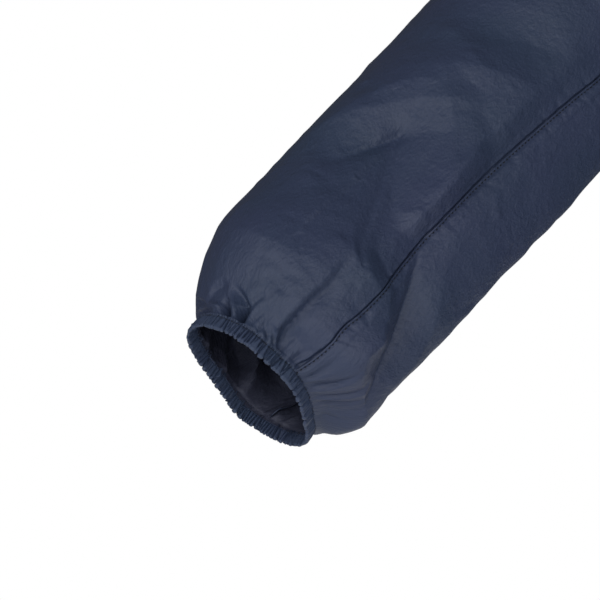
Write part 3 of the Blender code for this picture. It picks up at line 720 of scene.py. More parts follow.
class Graph:
    """A shader node tree that is built one node at a time."""

    def __init__(self, tree: bpy.types.NodeTree) -> None:
        """Starts on an empty or a new tree."""
        self.tree = tree

    def add(self, kind: str, *wires: tuple, **settings: object) -> bpy.types.Node:
        """Adds a node.

        Args:
            kind: The node's type, without the ShaderNode that begins it.
            *wires: Pairs of (socket, value or output that feeds it).
            **settings: The node's own properties.

        Returns:
            The new node.
        """
        node = self.tree.nodes.new(f"ShaderNode{kind}")
        for name, value in settings.items():
            setattr(node, name, value)
        for socket, value in wires:
            if isinstance(value, bpy.types.NodeSocket):
                self.tree.links.new(value, node.inputs[socket])
            else:
                node.inputs[socket].default_value = value
        return node

    def math(self, operation: str, *values: object) -> bpy.types.NodeSocket:
        """A sum on values or outputs."""
        return self.add("Math", *enumerate(values), operation=operation).outputs[0]


class GroupSocket(NamedTuple):
    """A named socket of a node group, with its kind and, on an input, what it holds unlinked."""

    name: str
    kind: str = "NodeSocketFloat"
    held: float | None = None


def new_group(name: str, ins: tuple, outs: tuple) -> tuple[Graph, bpy.types.Node, bpy.types.Node]:
    """Starts a shader node group with named sockets.

    Args:
        name: The group's name.
        ins: Its input sockets.
        outs: Its output sockets.

    Returns:
        The graph, its input node and its output node.
    """
    tree = bpy.data.node_groups.new(name, "ShaderNodeTree")
    for sockets, way in ((ins, "INPUT"), (outs, "OUTPUT")):
        for socket in sockets:
            made = tree.interface.new_socket(socket.name, in_out=way, socket_type=socket.kind)
            if socket.held is not None:
                made.default_value = socket.held
    graph = Graph(tree)
    return graph, tree.nodes.new("NodeGroupInput"), tree.nodes.new("NodeGroupOutput")


def crinkle_group() -> bpy.types.NodeTree:
    """Soft creases of thin coated cloth, at a scale per metre."""
    vector = GroupSocket("Vector", "NodeSocketVector")
    ins = (vector, GroupSocket("Scale", held=120.0), GroupSocket("Stretch", held=0.5))
    graph, given, out = new_group("crinkle", ins, (GroupSocket("Height"), GroupSocket("Mask")))
    stretch = graph.add("CombineXYZ", ("X", 1.0), ("Y", given.outputs["Stretch"]), ("Z", 1.0))
    ends = ((0, given.outputs["Vector"]), (1, stretch.outputs[0]))
    drawn = graph.add("VectorMath", *ends, operation="MULTIPLY")
    place = ("Vector", drawn.outputs[0])
    scale = ("Scale", given.outputs["Scale"])
    broad = graph.add("TexNoise", place, scale, ("Detail", 2.0), ("Distortion", 0.2))
    finer = graph.math("MULTIPLY", given.outputs["Scale"], 3.1)
    fine = graph.add("TexNoise", place, ("Scale", finer), ("Detail", 3.0), ("Distortion", 0.3))
    folded = graph.math("ABSOLUTE", graph.math("SUBTRACT", broad.outputs[0], 0.5))
    soft = graph.math("MULTIPLY_ADD", broad.outputs[0], 0.5, graph.math("MULTIPLY", folded, 0.25))
    total = graph.math("MULTIPLY_ADD", fine.outputs[0], 0.42, soft)
    graph.tree.links.new(total, out.inputs["Height"])
    graph.tree.links.new(broad.outputs[0], out.inputs["Mask"])
    return graph.tree


def weave_group() -> bpy.types.NodeTree:
    """Threads over and under, at a number of threads per metre."""
    ins = (GroupSocket("Vector", "NodeSocketVector"), GroupSocket("Threads", held=2500.0))
    graph, given, out = new_group("weave", ins, (GroupSocket("Height"),))
    split = graph.add("SeparateXYZ", ("Vector", given.outputs["Vector"]))
    turn = graph.math("MULTIPLY", given.outputs["Threads"], math.pi)
    warp = graph.math("SINE", graph.math("MULTIPLY", split.outputs["X"], turn))
    weft = graph.math("SINE", graph.math("MULTIPLY", split.outputs["Y"], turn))
    graph.tree.links.new(graph.math("MULTIPLY", warp, weft), out.inputs["Height"])
    return graph.tree


def tint_group() -> bpy.types.NodeTree:
    """Two dye tones that drift into each other over the cloth."""
    ins = (
        GroupSocket("Vector", "NodeSocketVector"),
        GroupSocket("First", "NodeSocketColor"),
        GroupSocket("Second", "NodeSocketColor"),
        GroupSocket("Scale", held=14.0),
    )
    graph, given, out = new_group("dye_drift", ins, (GroupSocket("Color", "NodeSocketColor"),))
    wires = (("Vector", given.outputs["Vector"]), ("Scale", given.outputs["Scale"]), ("Detail", 3.0))
    drift = graph.add("TexNoise", *wires)
    share = graph.add("MapRange", ("Value", drift.outputs[0]), ("From Min", 0.35), ("From Max", 0.65))
    tones = ((6, given.outputs["First"]), (7, given.outputs["Second"]))
    mixed = graph.add("Mix", (0, share.outputs[0]), *tones, data_type="RGBA")
    graph.tree.links.new(mixed.outputs[2], out.inputs["Color"])
    return graph.tree


def wear_group() -> bpy.types.NodeTree:
    """Where corners and rubbed places show through, from 0 to 1."""
    vector = GroupSocket("Vector", "NodeSocketVector")
    ins = (vector, GroupSocket("Reach", held=0.53), GroupSocket("Grain", held=900.0))
    graph, given, out = new_group("edge_wear", ins, (GroupSocket("Mask"), GroupSocket("Grain")))
    geometry = graph.add("NewGeometry")
    wires = (("Vector", given.outputs["Vector"]), ("Scale", given.outputs["Grain"]), ("Detail", 4.0))
    grain = graph.add("TexNoise", *wires)
    rubbed = graph.math("MULTIPLY_ADD", grain.outputs[0], 0.08, geometry.outputs["Pointiness"])
    high = graph.math("ADD", given.outputs["Reach"], 0.06)
    mask = graph.add("MapRange", ("Value", rubbed), ("From Min", given.outputs["Reach"]), ("From Max", high))
    graph.tree.links.new(mask.outputs[0], out.inputs["Mask"])
    graph.tree.links.new(grain.outputs[0], out.inputs["Grain"])
    return graph.tree


@dataclass(frozen=True)
class Groups:
    """The node groups that the finishes share."""

    crinkle: bpy.types.NodeTree = field(default_factory=crinkle_group)
    weave: bpy.types.NodeTree = field(default_factory=weave_group)
    tint: bpy.types.NodeTree = field(default_factory=tint_group)
    wear: bpy.types.NodeTree = field(default_factory=wear_group)


Colour = tuple[float, float, float]


@dataclass(frozen=True)
class ClothFinish:
    """Dyed woven cloth; for the inner face and the thread, the dye colours are darkened as painted shade.
    Heights are in metres, and scales are per metre.
    """

    name: str
    dye: Colour
    second_dye: Colour
    roughness: float = 0.52
    specular: float = 0.25
    sheen: float = 0.0
    crinkle_scale: float = 210.0
    crinkle_stretch: float = 0.6
    crinkle_height: float = 0.0011
    threads: float = 2600.0
    thread_height: float = 0.00002

    def make(self, groups: Groups) -> bpy.types.Material:
        """Makes the material.

        Args:
            groups: The shared node groups.

        Returns:
            The new material.
        """
        material = bpy.data.materials.new(self.name)
        material.use_nodes = True
        graph = Graph(material.node_tree)
        shader = material.node_tree.nodes["Principled BSDF"]
        place = graph.add("TexCoord").outputs["UV"]
        wires = (("Vector", place), ("First", (*self.dye, 1)), ("Second", (*self.second_dye, 1)))
        tint = graph.add("Group", node_tree=groups.tint)
        crinkle = graph.add("Group", node_tree=groups.crinkle)
        weave = graph.add("Group", node_tree=groups.weave)
        for node, pairs in (
            (tint, wires),
            (crinkle, (("Vector", place), ("Scale", self.crinkle_scale), ("Stretch", self.crinkle_stretch))),
            (weave, (("Vector", place), ("Threads", self.threads))),
        ):
            for socket, value in pairs:
                if isinstance(value, bpy.types.NodeSocket):
                    graph.tree.links.new(value, node.inputs[socket])
                else:
                    node.inputs[socket].default_value = value
        fine = graph.math("MULTIPLY", weave.outputs["Height"], self.thread_height)
        height = graph.math("MULTIPLY_ADD", crinkle.outputs["Height"], self.crinkle_height, fine)
        bump = graph.add("Bump", ("Height", height), ("Strength", 1.0), ("Distance", 1.0))
        rough = graph.math("MULTIPLY_ADD", crinkle.outputs["Mask"], 0.10, self.roughness - 0.05)
        graph.tree.links.new(tint.outputs["Color"], shader.inputs["Base Color"])
        graph.tree.links.new(rough, shader.inputs["Roughness"])
        graph.tree.links.new(bump.outputs["Normal"], shader.inputs["Normal"])
        shader.inputs["Specular IOR Level"].default_value = self.specular
        shader.inputs["Sheen Weight"].default_value = self.sheen
        shader.inputs["Sheen Roughness"].default_value = 0.5
        return material


@dataclass(frozen=True)
class HardFinish:
    """Moulded plastic or painted metal, rubbed a little at its corners."""

    name: str
    colour: Colour
    worn: Colour
    roughness: float
    metallic: float
    wear_reach: float = 0.53
    grain_height: float = 0.000004

    def make(self, groups: Groups) -> bpy.types.Material:
        """Makes the material.

        Args:
            groups: The shared node groups.

        Returns:
            The new material.
        """
        material = bpy.data.materials.new(self.name)
        material.use_nodes = True
        graph = Graph(material.node_tree)
        shader = material.node_tree.nodes["Principled BSDF"]
        wear = graph.add("Group", node_tree=groups.wear)
        wear.inputs["Reach"].default_value = self.wear_reach
        graph.tree.links.new(graph.add("TexCoord").outputs["Object"], wear.inputs["Vector"])
        worn = graph.add(
            "Mix", (0, wear.outputs["Mask"]), (6, (*self.colour, 1)), (7, (*self.worn, 1)), data_type="RGBA"
        )
        rough = graph.math("MULTIPLY_ADD", wear.outputs["Grain"], 0.12, self.roughness - 0.06)
        height = graph.math("MULTIPLY", wear.outputs["Grain"], self.grain_height)
        bump = graph.add("Bump", ("Height", height), ("Strength", 1.0), ("Distance", 1.0))
        graph.tree.links.new(worn.outputs[2], shader.inputs["Base Color"])
        graph.tree.links.new(rough, shader.inputs["Roughness"])
        graph.tree.links.new(bump.outputs["Normal"], shader.inputs["Normal"])
        shader.inputs["Metallic"].default_value = self.metallic
        return material


@dataclass(frozen=True)
class Wardrobe:
    """Every finish of the jacket, made once."""

    groups: Groups = field(default_factory=Groups)
    shell_finish: ClothFinish = ClothFinish("shell_cloth", (0.0225, 0.0305, 0.0640), (0.0205, 0.0312, 0.0605))
    # The inner face is the same shell cloth, its colours darkened and greyed as painted shade for the dim
    # insides of the sleeves and trunk.
    inside_finish: ClothFinish = ClothFinish(
        "shell_cloth_inside", (0.0240, 0.0262, 0.0455), (0.0225, 0.0255, 0.0440), 0.6
    )
    casing_finish: ClothFinish = ClothFinish(
        "casing_cloth", (0.0256, 0.0368, 0.0725), (0.0245, 0.0373, 0.0700), 0.56, crinkle_height=0.0004
    )
    # Stitches are dyed near black as painted shade: each stitch stands for the dark dimple that the needle
    # pulls into the cloth.
    thread_finish: ClothFinish = ClothFinish(
        "thread", (0.0026, 0.0040, 0.0085), (0.0025, 0.0039, 0.0082), 0.7,
        crinkle_height=0.0, thread_height=0.0,
    )
    tape_finish: ClothFinish = ClothFinish(
        "tape_cloth", (0.012, 0.016, 0.030), (0.011, 0.016, 0.028), 0.7,
        threads=1500.0, thread_height=0.00008, crinkle_height=0.0,
    )
    coil_finish: HardFinish = HardFinish(
        "coil_plastic", (0.012, 0.015, 0.026), (0.03, 0.035, 0.05), 0.62, 0.0
    )
    metal_finish: HardFinish = HardFinish(
        "painted_metal", (0.020, 0.022, 0.028), (0.16, 0.16, 0.17), 0.40, 0.85
    )

    def make(self) -> dict[str, bpy.types.Material]:
        """Makes the materials, by name."""
        finishes = {
            "shell": self.shell_finish,
            # The inside and the thread finishes carry painted shade in their colours.
            "inside": self.inside_finish,
            "casing": self.casing_finish,
            "thread": self.thread_finish,
            "tape": self.tape_finish,
            "coil": self.coil_finish,
            "metal": self.metal_finish,
        }
        return {name: finish.make(self.groups) for name, finish in finishes.items()}


Materials = dict[str, bpy.types.Material]


# Sewing


@dataclass(frozen=True)
class Thread:
    """A row of stitches: one stitch is modelled, then copied along lines on the cloth."""

    length: float = 0.0019
    pitch: float = 0.0025
    radius: float = 0.00020
    taper: float = 0.45

    def stitch(self) -> tuple[np.ndarray, np.ndarray]:
        """Models one stitch along X, a thread that dives at both ends.

        Returns:
            Its points, and three point numbers for each face.
        """
        bpy.ops.object.select_all(action="DESELECT")
        bpy.ops.mesh.primitive_cylinder_add(
            vertices=6, radius=self.radius, depth=self.length * 0.6, rotation=(0, math.pi / 2, 0)
        )
        obj = bpy.context.active_object
        bpy.ops.object.transform_apply(rotation=True)
        for sign in (-1, 1):
            bpy.ops.object.mode_set(mode="EDIT")
            bpy.ops.mesh.select_mode(type="FACE")
            bpy.ops.mesh.select_all(action="DESELECT")
            bpy.ops.object.mode_set(mode="OBJECT")
            for face in obj.data.polygons:
                face.select = face.normal.x * sign > 0.9
            bpy.ops.object.mode_set(mode="EDIT")
            move = (sign * self.length * 0.2, 0, -self.radius * 0.8)
            bpy.ops.mesh.extrude_region_move(TRANSFORM_OT_translate={"value": move})
            bpy.ops.transform.resize(value=(1, self.taper, self.taper))
            bpy.ops.object.mode_set(mode="OBJECT")
        return taken(obj)

    def sew(self, name: str, lines: list, material: bpy.types.Material) -> bpy.types.Object:
        """Sews stitches along lines.

        Args:
            name: The piece's name.
            lines: Pairs of (points, normals) along each line, in metres.
            material: The stitches' finish, near black as painted shade of the dimples they sit in.

        Returns:
            The stitches as one piece.
        """
        places = [spots_along(points, normals, self.pitch) for points, normals in lines]
        return copied(name, self.stitch(), np.concatenate(places), material)


def taken(obj: bpy.types.Object) -> tuple[np.ndarray, np.ndarray]:
    """Takes a modelled piece's points and triangles, and removes its object."""
    mesh = obj.data
    mesh.calc_loop_triangles()
    points = np.array([vertex.co for vertex in mesh.vertices])
    faces = np.array([triangle.vertices for triangle in mesh.loop_triangles])
    bpy.data.objects.remove(obj, do_unlink=True)
    return points, faces


def spots_along(points: np.ndarray, normals: np.ndarray, pitch: float) -> np.ndarray:
    """Evenly spaced places along a line, each as a turned frame.

    Args:
        points: The line's points, in metres.
        normals: The cloth's normals along it.
        pitch: Distance from place to place.

    Returns:
        A four by three array for each place: the run, the way across, the normal and the point.
    """
    run = np.concatenate([[0.0], np.cumsum(np.linalg.norm(np.diff(points, axis=0), axis=1))])
    stops = np.arange(pitch / 2, run[-1], pitch)
    way = np.gradient(points, np.maximum(run, np.arange(len(run)) * 1e-9), axis=0)
    at = [
        np.stack([np.interp(stops, run, rows[:, k]) for k in range(3)], axis=1)
        for rows in (points, way, normals)
    ]
    ahead = unit(at[1])
    across = unit(np.cross(at[2], ahead))
    return np.stack([ahead, across, np.cross(ahead, across), at[0]], axis=1)


def copied(
    name: str, piece: tuple[np.ndarray, np.ndarray], places: np.ndarray, material: bpy.types.Material
) -> bpy.types.Object:
    """Copies one small piece to many places as one object.

    Args:
        name: The new piece's name.
        piece: Its points and triangles.
        places: A four by three array for each place.
        material: Its finish.

    Returns:
        The copies as one piece.
    """
    points, faces = piece
    placed = np.einsum("vi,nij->nvj", points, places[:, :3]) + places[:, None, 3]
    numbered = faces[None] + (np.arange(len(places)) * len(points))[:, None, None]
    flat = np.tile(points[:, :2], (len(places), 1))
    return mesh_object(name, placed.reshape(-1, 3), numbered.reshape(-1, 3), flat, material)


# The sleeves


def points_of(*rows: tuple) -> tuple:
    """A fold's path from rows of (up, round, height), turned to (round, up, height)."""
    return tuple((around, up, height) for up, around, height in rows)


PUFF_CREST = Fold(
    points_of(
        (44, 90, 0.5), (42, 99, 1.8), (41, 112, 3.4), (41, 130, 4.6), (41, 150, 3.4), (45, 168, 1.8),
        (48, 184, 1.2),
        (52, 204, 0.2)
    ),
    44, 17, 0.2, 1.05,
)
POINTED_DENT = Fold(
    points_of(
        (97, 72, -2.6), (90, 82, -4.0), (94, 93, -5.4), (106, 103, -7.0), (120, 111, -8.2), (135, 119, -8.6),
        (120, 126, -7.2), (104, 134, -4.8), (90, 146, -1.4), (84, 158, 0.0)
    ),
    24, 58, 0.3, 1.0,
)
CROSS_RIDGE = Fold(
    points_of(
        (172, 96, 0.8), (166, 108, 2.8), (157, 119, 4.0), (145, 130, 4.4), (131, 142, 4.2), (117, 154, 3.0),
        (104, 166, 1.0)
    ),
    40, 18, 0.6, 1.05,
)
SEAM_DENT = Fold(
    points_of(
        (1, 6, -1.8), (6, 13, -4.2), (14, 22, -5.8), (24, 29, -6.8), (40, 36, -7.8), (58, 44, -8.4),
        (70, 52, -7.2),
        (84, 62, -4.4), (98, 69, -2.4), (108, 73, -0.5)
    ),
    15, 16, 0.3, 1.05,
)
SLEEVE_FOLDS = (
    PUFF_CREST,
    POINTED_DENT,
    CROSS_RIDGE,
    Fold(
        points_of((202, 82, 1.0), (199, 95, 3.0), (191, 111, 4.0), (181, 122, 3.0), (170, 136, 1.0)),
        34, 26, 0.8, 1.1,
    ),
    SEAM_DENT,
    # The bright facet beside the seam, with a sharp upper edge
    Fold(
        points_of((54, 68, 1.2), (57, 75, 4.0), (59, 83, 5.2), (62, 92, 4.6), (72, 99, 2.8), (88, 104, 0.8)),
        11, 26, 0.3, 1.0,
    ),
    # The long step that climbs from the casing, and its plateau
    Fold(
        points_of(
            (1, 93, -1.6), (5, 95, -3.4), (9, 95, -3.6), (14, 92, -2.8), (22, 89.5, -2.4), (37, 89, -2.0),
            (54, 90, -0.5),
        ),
        8, 3.2, 0.3, 1.2,
    ),
    Fold(
        points_of((4, 99, 1.0), (9, 99, 2.3), (14, 96, 2.7), (22, 93, 2.7), (38, 92, 2.2), (52, 94, 0.6)),
        3.2, 34, 0.3, 1.3,
    ),
    # The second crease of the under panel
    Fold(
        points_of((4, 46, 0.3), (10, 49, 2.4), (20, 51, 4.2), (36, 51, 3.8), (48, 53, 0.6)),
        9, 15, 0.3, 1.1,
    ),
    Fold(
        points_of((14, 23, -0.4), (40, 37, -1.6), (58, 45, -2.0), (72, 54, -1.8), (90, 66, -1.0)),
        1.6, 5.5, 0.2, 1.2,
    ),
    Fold(
        points_of(
            (10, 18, 0.2), (44, 22, 3.4), (80, 24, 9.6), (110, 25, 12.5), (170, 25, 12.5), (240, 25, 8.5),
        ),
        18, 47, 2.0, 1.0,
    ),
    # The round corner that the drawn-in mouth pushes out below
    Fold(points_of((1.5, 328, 1.0), (4, 344, 2.8), (5, 354, 2.2), (6, 364, 0.4)), 6, 4, 1.0, 1.4),
    # The rise across the seam, up to the edge of the facet above it
    Fold(
        points_of(
            (92, 77, 0.8), (102, 81, 3.6), (128, 83, 4.8), (150, 86, 5.0), (160, 87, 3.8), (166, 84, 2.4),
            (190, 83, 2.0),
            (235, 80, 1.0)
        ),
        14, 15, 0.3, 1.05,
    ),
    # The valley that the seam lies in, higher up
    Fold(
        points_of(
            (84, 70, -0.5), (102, 71, -2.8), (130, 71.5, -4.2), (165, 71, -4.2), (205, 68, -3.4),
            (250, 64, -1.5),
        ),
        38, 14, 0.8, 1.1,
    ),
    # Sharp lines from the tip of the hanging dent
    Fold(
        points_of((64, 91, -0.3), (80, 97, -1.0), (104, 107, -1.3), (122, 115, -1.5), (135, 120, -1.2)),
        1.8, 9, 0.2, 1.2,
    ),
    Fold(
        points_of((136, 119.5, -1.4), (124, 124, -1.6), (110, 129.5, -1.2), (98, 135, -0.3)),
        1.8, 7, 0.2, 1.2,
    ),
    Fold(
        points_of((60, 80, -0.3), (58, 84, -1.2), (61, 89, -1.4), (66, 94, -0.9), (76, 100, -0.2)),
        5, 1.6, 0.2, 1.2,
    ),
    # Tips where the upper panel pulls on the seam
    Fold(points_of((168, 78, -0.4), (160, 85, -2.2), (150, 88, -1.6), (126, 89, -0.4)), 14, 9, 0.5, 1.2),
    Fold(points_of((190, 112, 0.4), (200, 121, 1.6), (206, 134, 1.8), (206, 150, 0.6)), 22, 12, 0.8, 1.2),
    Fold(points_of((236, 84, -1.0), (226, 100, -2.8), (214, 118, -3.0), (208, 138, -1.0)), 30, 24, 1.2, 1.1),
    Fold(points_of((60, 56, 0.2), (100, 60, 1.0), (160, 61, 1.2), (220, 60, 0.3)), 12, 12, 1.0, 1.4),
    Fold(points_of((78, 128, 0.2), (84, 138, 1.2), (96, 146, 1.2), (106, 150, 0.2)), 8, 12, 0.6, 1.3),
)
# Tucks and dimples that the drawn-in mouth throws up beside the casing
CUFF_FOLDS = (
    Fold(
        points_of(
            (0.5, 128, -2.6), (4, 126, -6.6), (9, 122.5, -5.8), (12, 122, -4.6), (15, 125, -3.8),
            (18, 130, -2.2), (20, 136, -0.3),
        ),
        2.4, 6.5, 0.3, 1.2,
    ),
    Fold(
        points_of((0.5, 140.5, -3.0), (4, 139.5, -6.4), (8, 138, -5.4), (12, 138, -2.0), (14, 139, -0.2)),
        2.4, 6, 0.3, 1.2,
    ),
    Fold(points_of((0.5, 127.5, -2.6), (4, 126, -3.4), (8, 124, -2.0), (11, 123, -0.2)), 2.6, 3.6, 1.2),
    Fold(points_of((0.5, 140, -2.6), (4, 139, -3.2), (8, 138.5, -2.0), (11, 138, -0.2)), 2.4, 3.4, 1.2),
    Fold(points_of((21, 137, -0.4), (19.5, 144, -2.2), (17, 150, -1.8), (12, 154, -0.6)), 3.2, 11, 0.3, 1.2),
    Fold(points_of((7, 141, 0.4), (7, 147, 1.6), (8, 153, 0.8)), 4, 3.5, 0.4, 1.2),
    Fold(points_of((1, 133, 1.0), (8, 132, 1.8), (13, 133, 0.9), (17, 136, 0.1)), 4, 5, 0.6),
    Fold(points_of((8, 158, -0.5), (12, 165, -2.4), (15, 172, -2.6), (18, 182, -0.6)), 2.6, 6.5, 0.3, 1.2),
    Fold(points_of((3, 154, -0.6), (5, 162, -1.9), (6, 171, -1.8), (8, 182, -0.5)), 2.2, 3.4, 0.3, 1.2),
    Fold(points_of((1, 113, -0.8), (6, 109, -1.4), (11, 106, -1.0), (16, 103, -0.2)), 1.6, 3.2, 0.2, 1.2),
    Fold(points_of((3, 119, -0.6), (8, 114, -1.5), (12, 110, -1.0), (15, 107, -0.1)), 1.6, 3.6, 0.2, 1.2),
    Fold(points_of((8, 121, -0.4), (14, 118, -1.7), (18, 114, -1.4), (20, 110, -0.2)), 1.8, 4, 0.2, 1.2),
    Fold(points_of((23, 101, -0.3), (25, 106, -1.6), (28, 112, -1.5), (27, 119, -0.2)), 2.6, 6, 0.3, 1.2),
    Fold(points_of((33, 100, -0.2), (31, 108, -0.9), (34, 118, -0.7), (33, 130, -0.1)), 2, 5, 0.3, 1.2),
    Fold(points_of((0.5, 98, -1.6), (3, 99, -2.0), (8, 102, -0.8)), 2.2, 3, 0.4),
    Fold(points_of((0.5, 89, -1.4), (3, 89, -2.0), (7, 88, -1.4), (12, 85, -0.3)), 2.4, 4, 0.4),
    Fold(points_of((0.5, 104, -1.0), (3, 105, -1.5), (6, 108, -0.4)), 2.2, 2.6, 0.4),
    Fold(points_of((6, 93, -0.8), (9, 86, -1.6), (8, 80, -1.5), (4, 75, -0.6)), 5, 5, 0.8),
    Fold(points_of((0.5, 86, -0.8), (3, 86, -1.2), (6, 84, -0.3)), 2.2, 2.6, 0.4),
    Fold(points_of((0.5, 78, -0.8), (3, 78, -1.2), (7, 76, -0.3)), 2.2, 2.6, 0.4),
    Fold(points_of((0.5, 57, -1.0), (4, 58, -2.0), (9, 60, -1.2), (13, 62, -0.2)), 2.2, 5, 0.3, 1.2),
    Fold(points_of((0.5, 45, -1.2), (5, 46, -2.9), (11, 48, -2.0), (17, 50, -0.3)), 2.4, 8, 0.3, 1.2),
    Fold(points_of((0.5, 32, -1.2), (5, 33, -2.8), (11, 35, -2.0), (17, 37, -0.3)), 2.6, 9, 0.3, 1.2),
    Fold(points_of((0.5, 21, -1.0), (4, 22, -2.0), (9, 24, -1.2), (13, 26, -0.2)), 2.8, 7, 0.3, 1.2),
    Fold(points_of((0.5, 4, -0.6), (3, 3, -1.0), (6, 1, -0.3)), 3, 4, 0.5),
)
# Inward folds on the far side, seen through the mouth
MOUTH_FOLDS = (
    Fold(
        points_of((0.5, 266, -2.0), (9, 262, -7.0), (20, 258, -11.0), (32, 250, -9.0), (50, 244, -2.5)),
        5, 15, 0.4, 1.1,
    ),
    Fold(points_of((1, 238, -1.0), (12, 234, -3.8), (26, 236, -4.6), (60, 228, -1.5)), 12, 6, 0.6, 1.2),
    Fold(points_of((2, 206, -1.0), (16, 212, -4.6), (40, 210, -5.6), (70, 204, -2.0)), 10, 8, 0.8, 1.3),
    Fold(points_of((0.5, 295, -1.6), (3, 295, -3.0), (7, 293, -1.4), (10, 291, -0.2)), 2.6, 2.0, 0.3, 1.2),
    Fold(points_of((0.5, 304, -1.4), (4, 304, -2.6), (8, 303, -1.2), (11, 301, -0.2)), 2.4, 2.0, 0.3, 1.2),
    Fold(points_of((12, 284, -0.4), (22, 286, -2.6), (34, 280, -2.0), (48, 284, -0.4)), 7, 5, 0.5, 1.3),
    Fold(points_of((1, 338, -1.0), (9, 336, -2.8), (24, 340, -2.6), (40, 336, -0.5)), 7, 8, 0.6, 1.3),
)
# Folds up the arm and round its back, where the sleeve bends and hangs
ARM_FOLDS = (
    Fold(points_of((252, 30, -1.0), (262, 62, -4.5), (285, 96, -4.0), (296, 130, -1.0)), 22, 30),
    Fold(points_of((285, 20, 0.0), (300, 60, 4.0), (318, 105, 3.4), (322, 150, 0.5)), 20, 34),
    Fold(points_of((318, -10, -1.0), (332, 40, -5.0), (345, 84, -4.0), (352, 128, -0.5)), 18, 26),
    Fold(points_of((385, 20, -1.0), (402, 60, -5.5), (430, 92, -4.0), (452, 120, -1.0)), 24, 34),
    Fold(points_of((425, 0, 0.5), (450, 48, 4.5), (476, 80, 3.0), (498, 110, 0.5)), 18, 30),
    Fold(points_of((470, -20, -1.5), (492, 34, -6.0), (512, 66, -3.5)), 20, 26),
    Fold(points_of((372, 110, -0.5), (398, 150, -3.6), (408, 196, -3.0), (400, 240, -0.5)), 26, 30),
    Fold(points_of((60, 196, -0.5), (92, 228, -4.2), (118, 262, -3.6), (126, 288, -1.0)), 18, 30),
    Fold(points_of((150, 200, 0.5), (134, 244, 3.6), (142, 284, 2.0), (158, 310, 0.5)), 24, 18),
    Fold(points_of((196, 188, -0.5), (214, 232, -4.0), (206, 278, -4.4), (190, 316, -1.0)), 20, 26),
    Fold(points_of((262, 200, -0.5), (280, 250, -5.0), (292, 300, -5.4), (286, 344, -2.0)), 22, 30),
    Fold(points_of((322, 196, 0.5), (330, 240, 4.0), (324, 290, 3.6), (310, 330, 0.5)), 20, 26),
    Fold(points_of((350, 230, -0.5), (372, 276, -5.6), (368, 322, -5.0), (352, 352, -1.0)), 20, 30),
    Fold(points_of((440, 210, -0.5), (456, 256, -4.6), (480, 300, -5.0), (500, 334, -2.0)), 24, 30),
    Fold(points_of((30, 250, -0.5), (46, 290, -3.0), (66, 322, -2.4), (70, 346, -0.5)), 12, 18),
)


@dataclass(frozen=True)
class Gathers:
    """Short puckers that run up from the casing, all round, uneven in place and size."""

    seed: int
    short: int = 96
    long: int = 16
    turn: tuple[float, float] = (-70.0, 290.0)
    calm: tuple[float, float] = (-20.0, 66.0)
    calm_share: float = 0.15

    def folds(self) -> tuple:
        """The puckers, each a trough that starts at the casing and dies out up the sleeve."""
        draw = np.random.default_rng(self.seed)
        made = []
        for count, length, depth, reach in (
            (self.short, (2.0, 6.5), (0.30, 0.9), (1.1, 2.2)),
            (self.long, (8.0, 17.0), (0.5, 1.3), (2.0, 4.0)),
        ):
            for slot_number in range(count):
                width = (self.turn[1] - self.turn[0]) / count
                start = self.turn[0] + width * (slot_number + draw.uniform(0.1, 0.9))
                size, deep = draw.uniform(*length), draw.uniform(*depth)
                lean = draw.normal(0, 0.28) * size
                middle = (start + lean * 0.4, size * 0.45, -deep * 0.8)
                path = ((start, -1.0, -deep), middle, (start + lean, size, 0.0))
                if self.calm[0] < start < self.calm[1] and draw.uniform() > self.calm_share:
                    continue
                made.append(Fold(path, draw.uniform(*reach), draw.uniform(*reach), 0.5, 1.4))
        return tuple(made)


@dataclass(frozen=True)
class Puckers:
    """Short pulls square to a seam, from its stitches outward, in millimetres."""

    seed: int
    length: float
    spacing: float = 7.0
    reach: tuple[float, float] = (4.0, 10.0)
    depth: tuple[float, float] = (0.25, 0.70)

    def folds(self) -> tuple:
        """The pulls, on both sides: across is the distance past the edge, and up is along it."""
        draw = np.random.default_rng(self.seed)
        made = []
        for number in range(int(self.length / self.spacing)):
            up = self.spacing * (number + draw.uniform(0, 1))
            out, deep = draw.uniform(*self.reach), draw.uniform(*self.depth)
            lean = draw.normal(0, 0.45) * out
            side = draw.choice((-1.0, 1.0))
            start = 0.4 if side > 0 else -2.4
            path = ((start, up, -deep), (start + side * out, up + lean, 0.0))
            made.append(Fold(path, draw.uniform(1.2, 2.6), draw.uniform(1.2, 2.6), 0.4, 1.5))
        return tuple(made)


@dataclass(frozen=True)
class LappedSeam:
    """A felled seam: one panel's turned edge lies over the next, with a line of stitches."""

    allowance: float = 5.5
    rise: float = 0.42
    stitch_in: float = 1.5
    pinch: float = 1.0
    ditch: float = 1.4
    overlap: float = 4.0
    below: float = 0.45
    turning_width: float = 2.0
    pinch_width: float = 0.8
    edge_width: float = 0.6
    ditch_width: float = 1.3
    below_width: float = 0.5

    def over(self, away: np.ndarray) -> np.ndarray:
        """Height of the panel on top, by distance from its edge, in millimetres."""
        lift = self.rise * (1 - ease((away - self.allowance) / self.turning_width))
        dimple = self.pinch * np.exp(-(((away - self.stitch_in) / self.pinch_width) ** 2))
        return lift - dimple - self.rise * (1 - ease(away / self.edge_width))

    def under(self, away: np.ndarray) -> np.ndarray:
        """Height of the panel below, by distance past the top panel's edge, in millimetres."""
        ditch = self.ditch * (1 - ease(away / self.ditch_width))
        return -ditch - self.below * (1 - ease(away / self.below_width + 1))


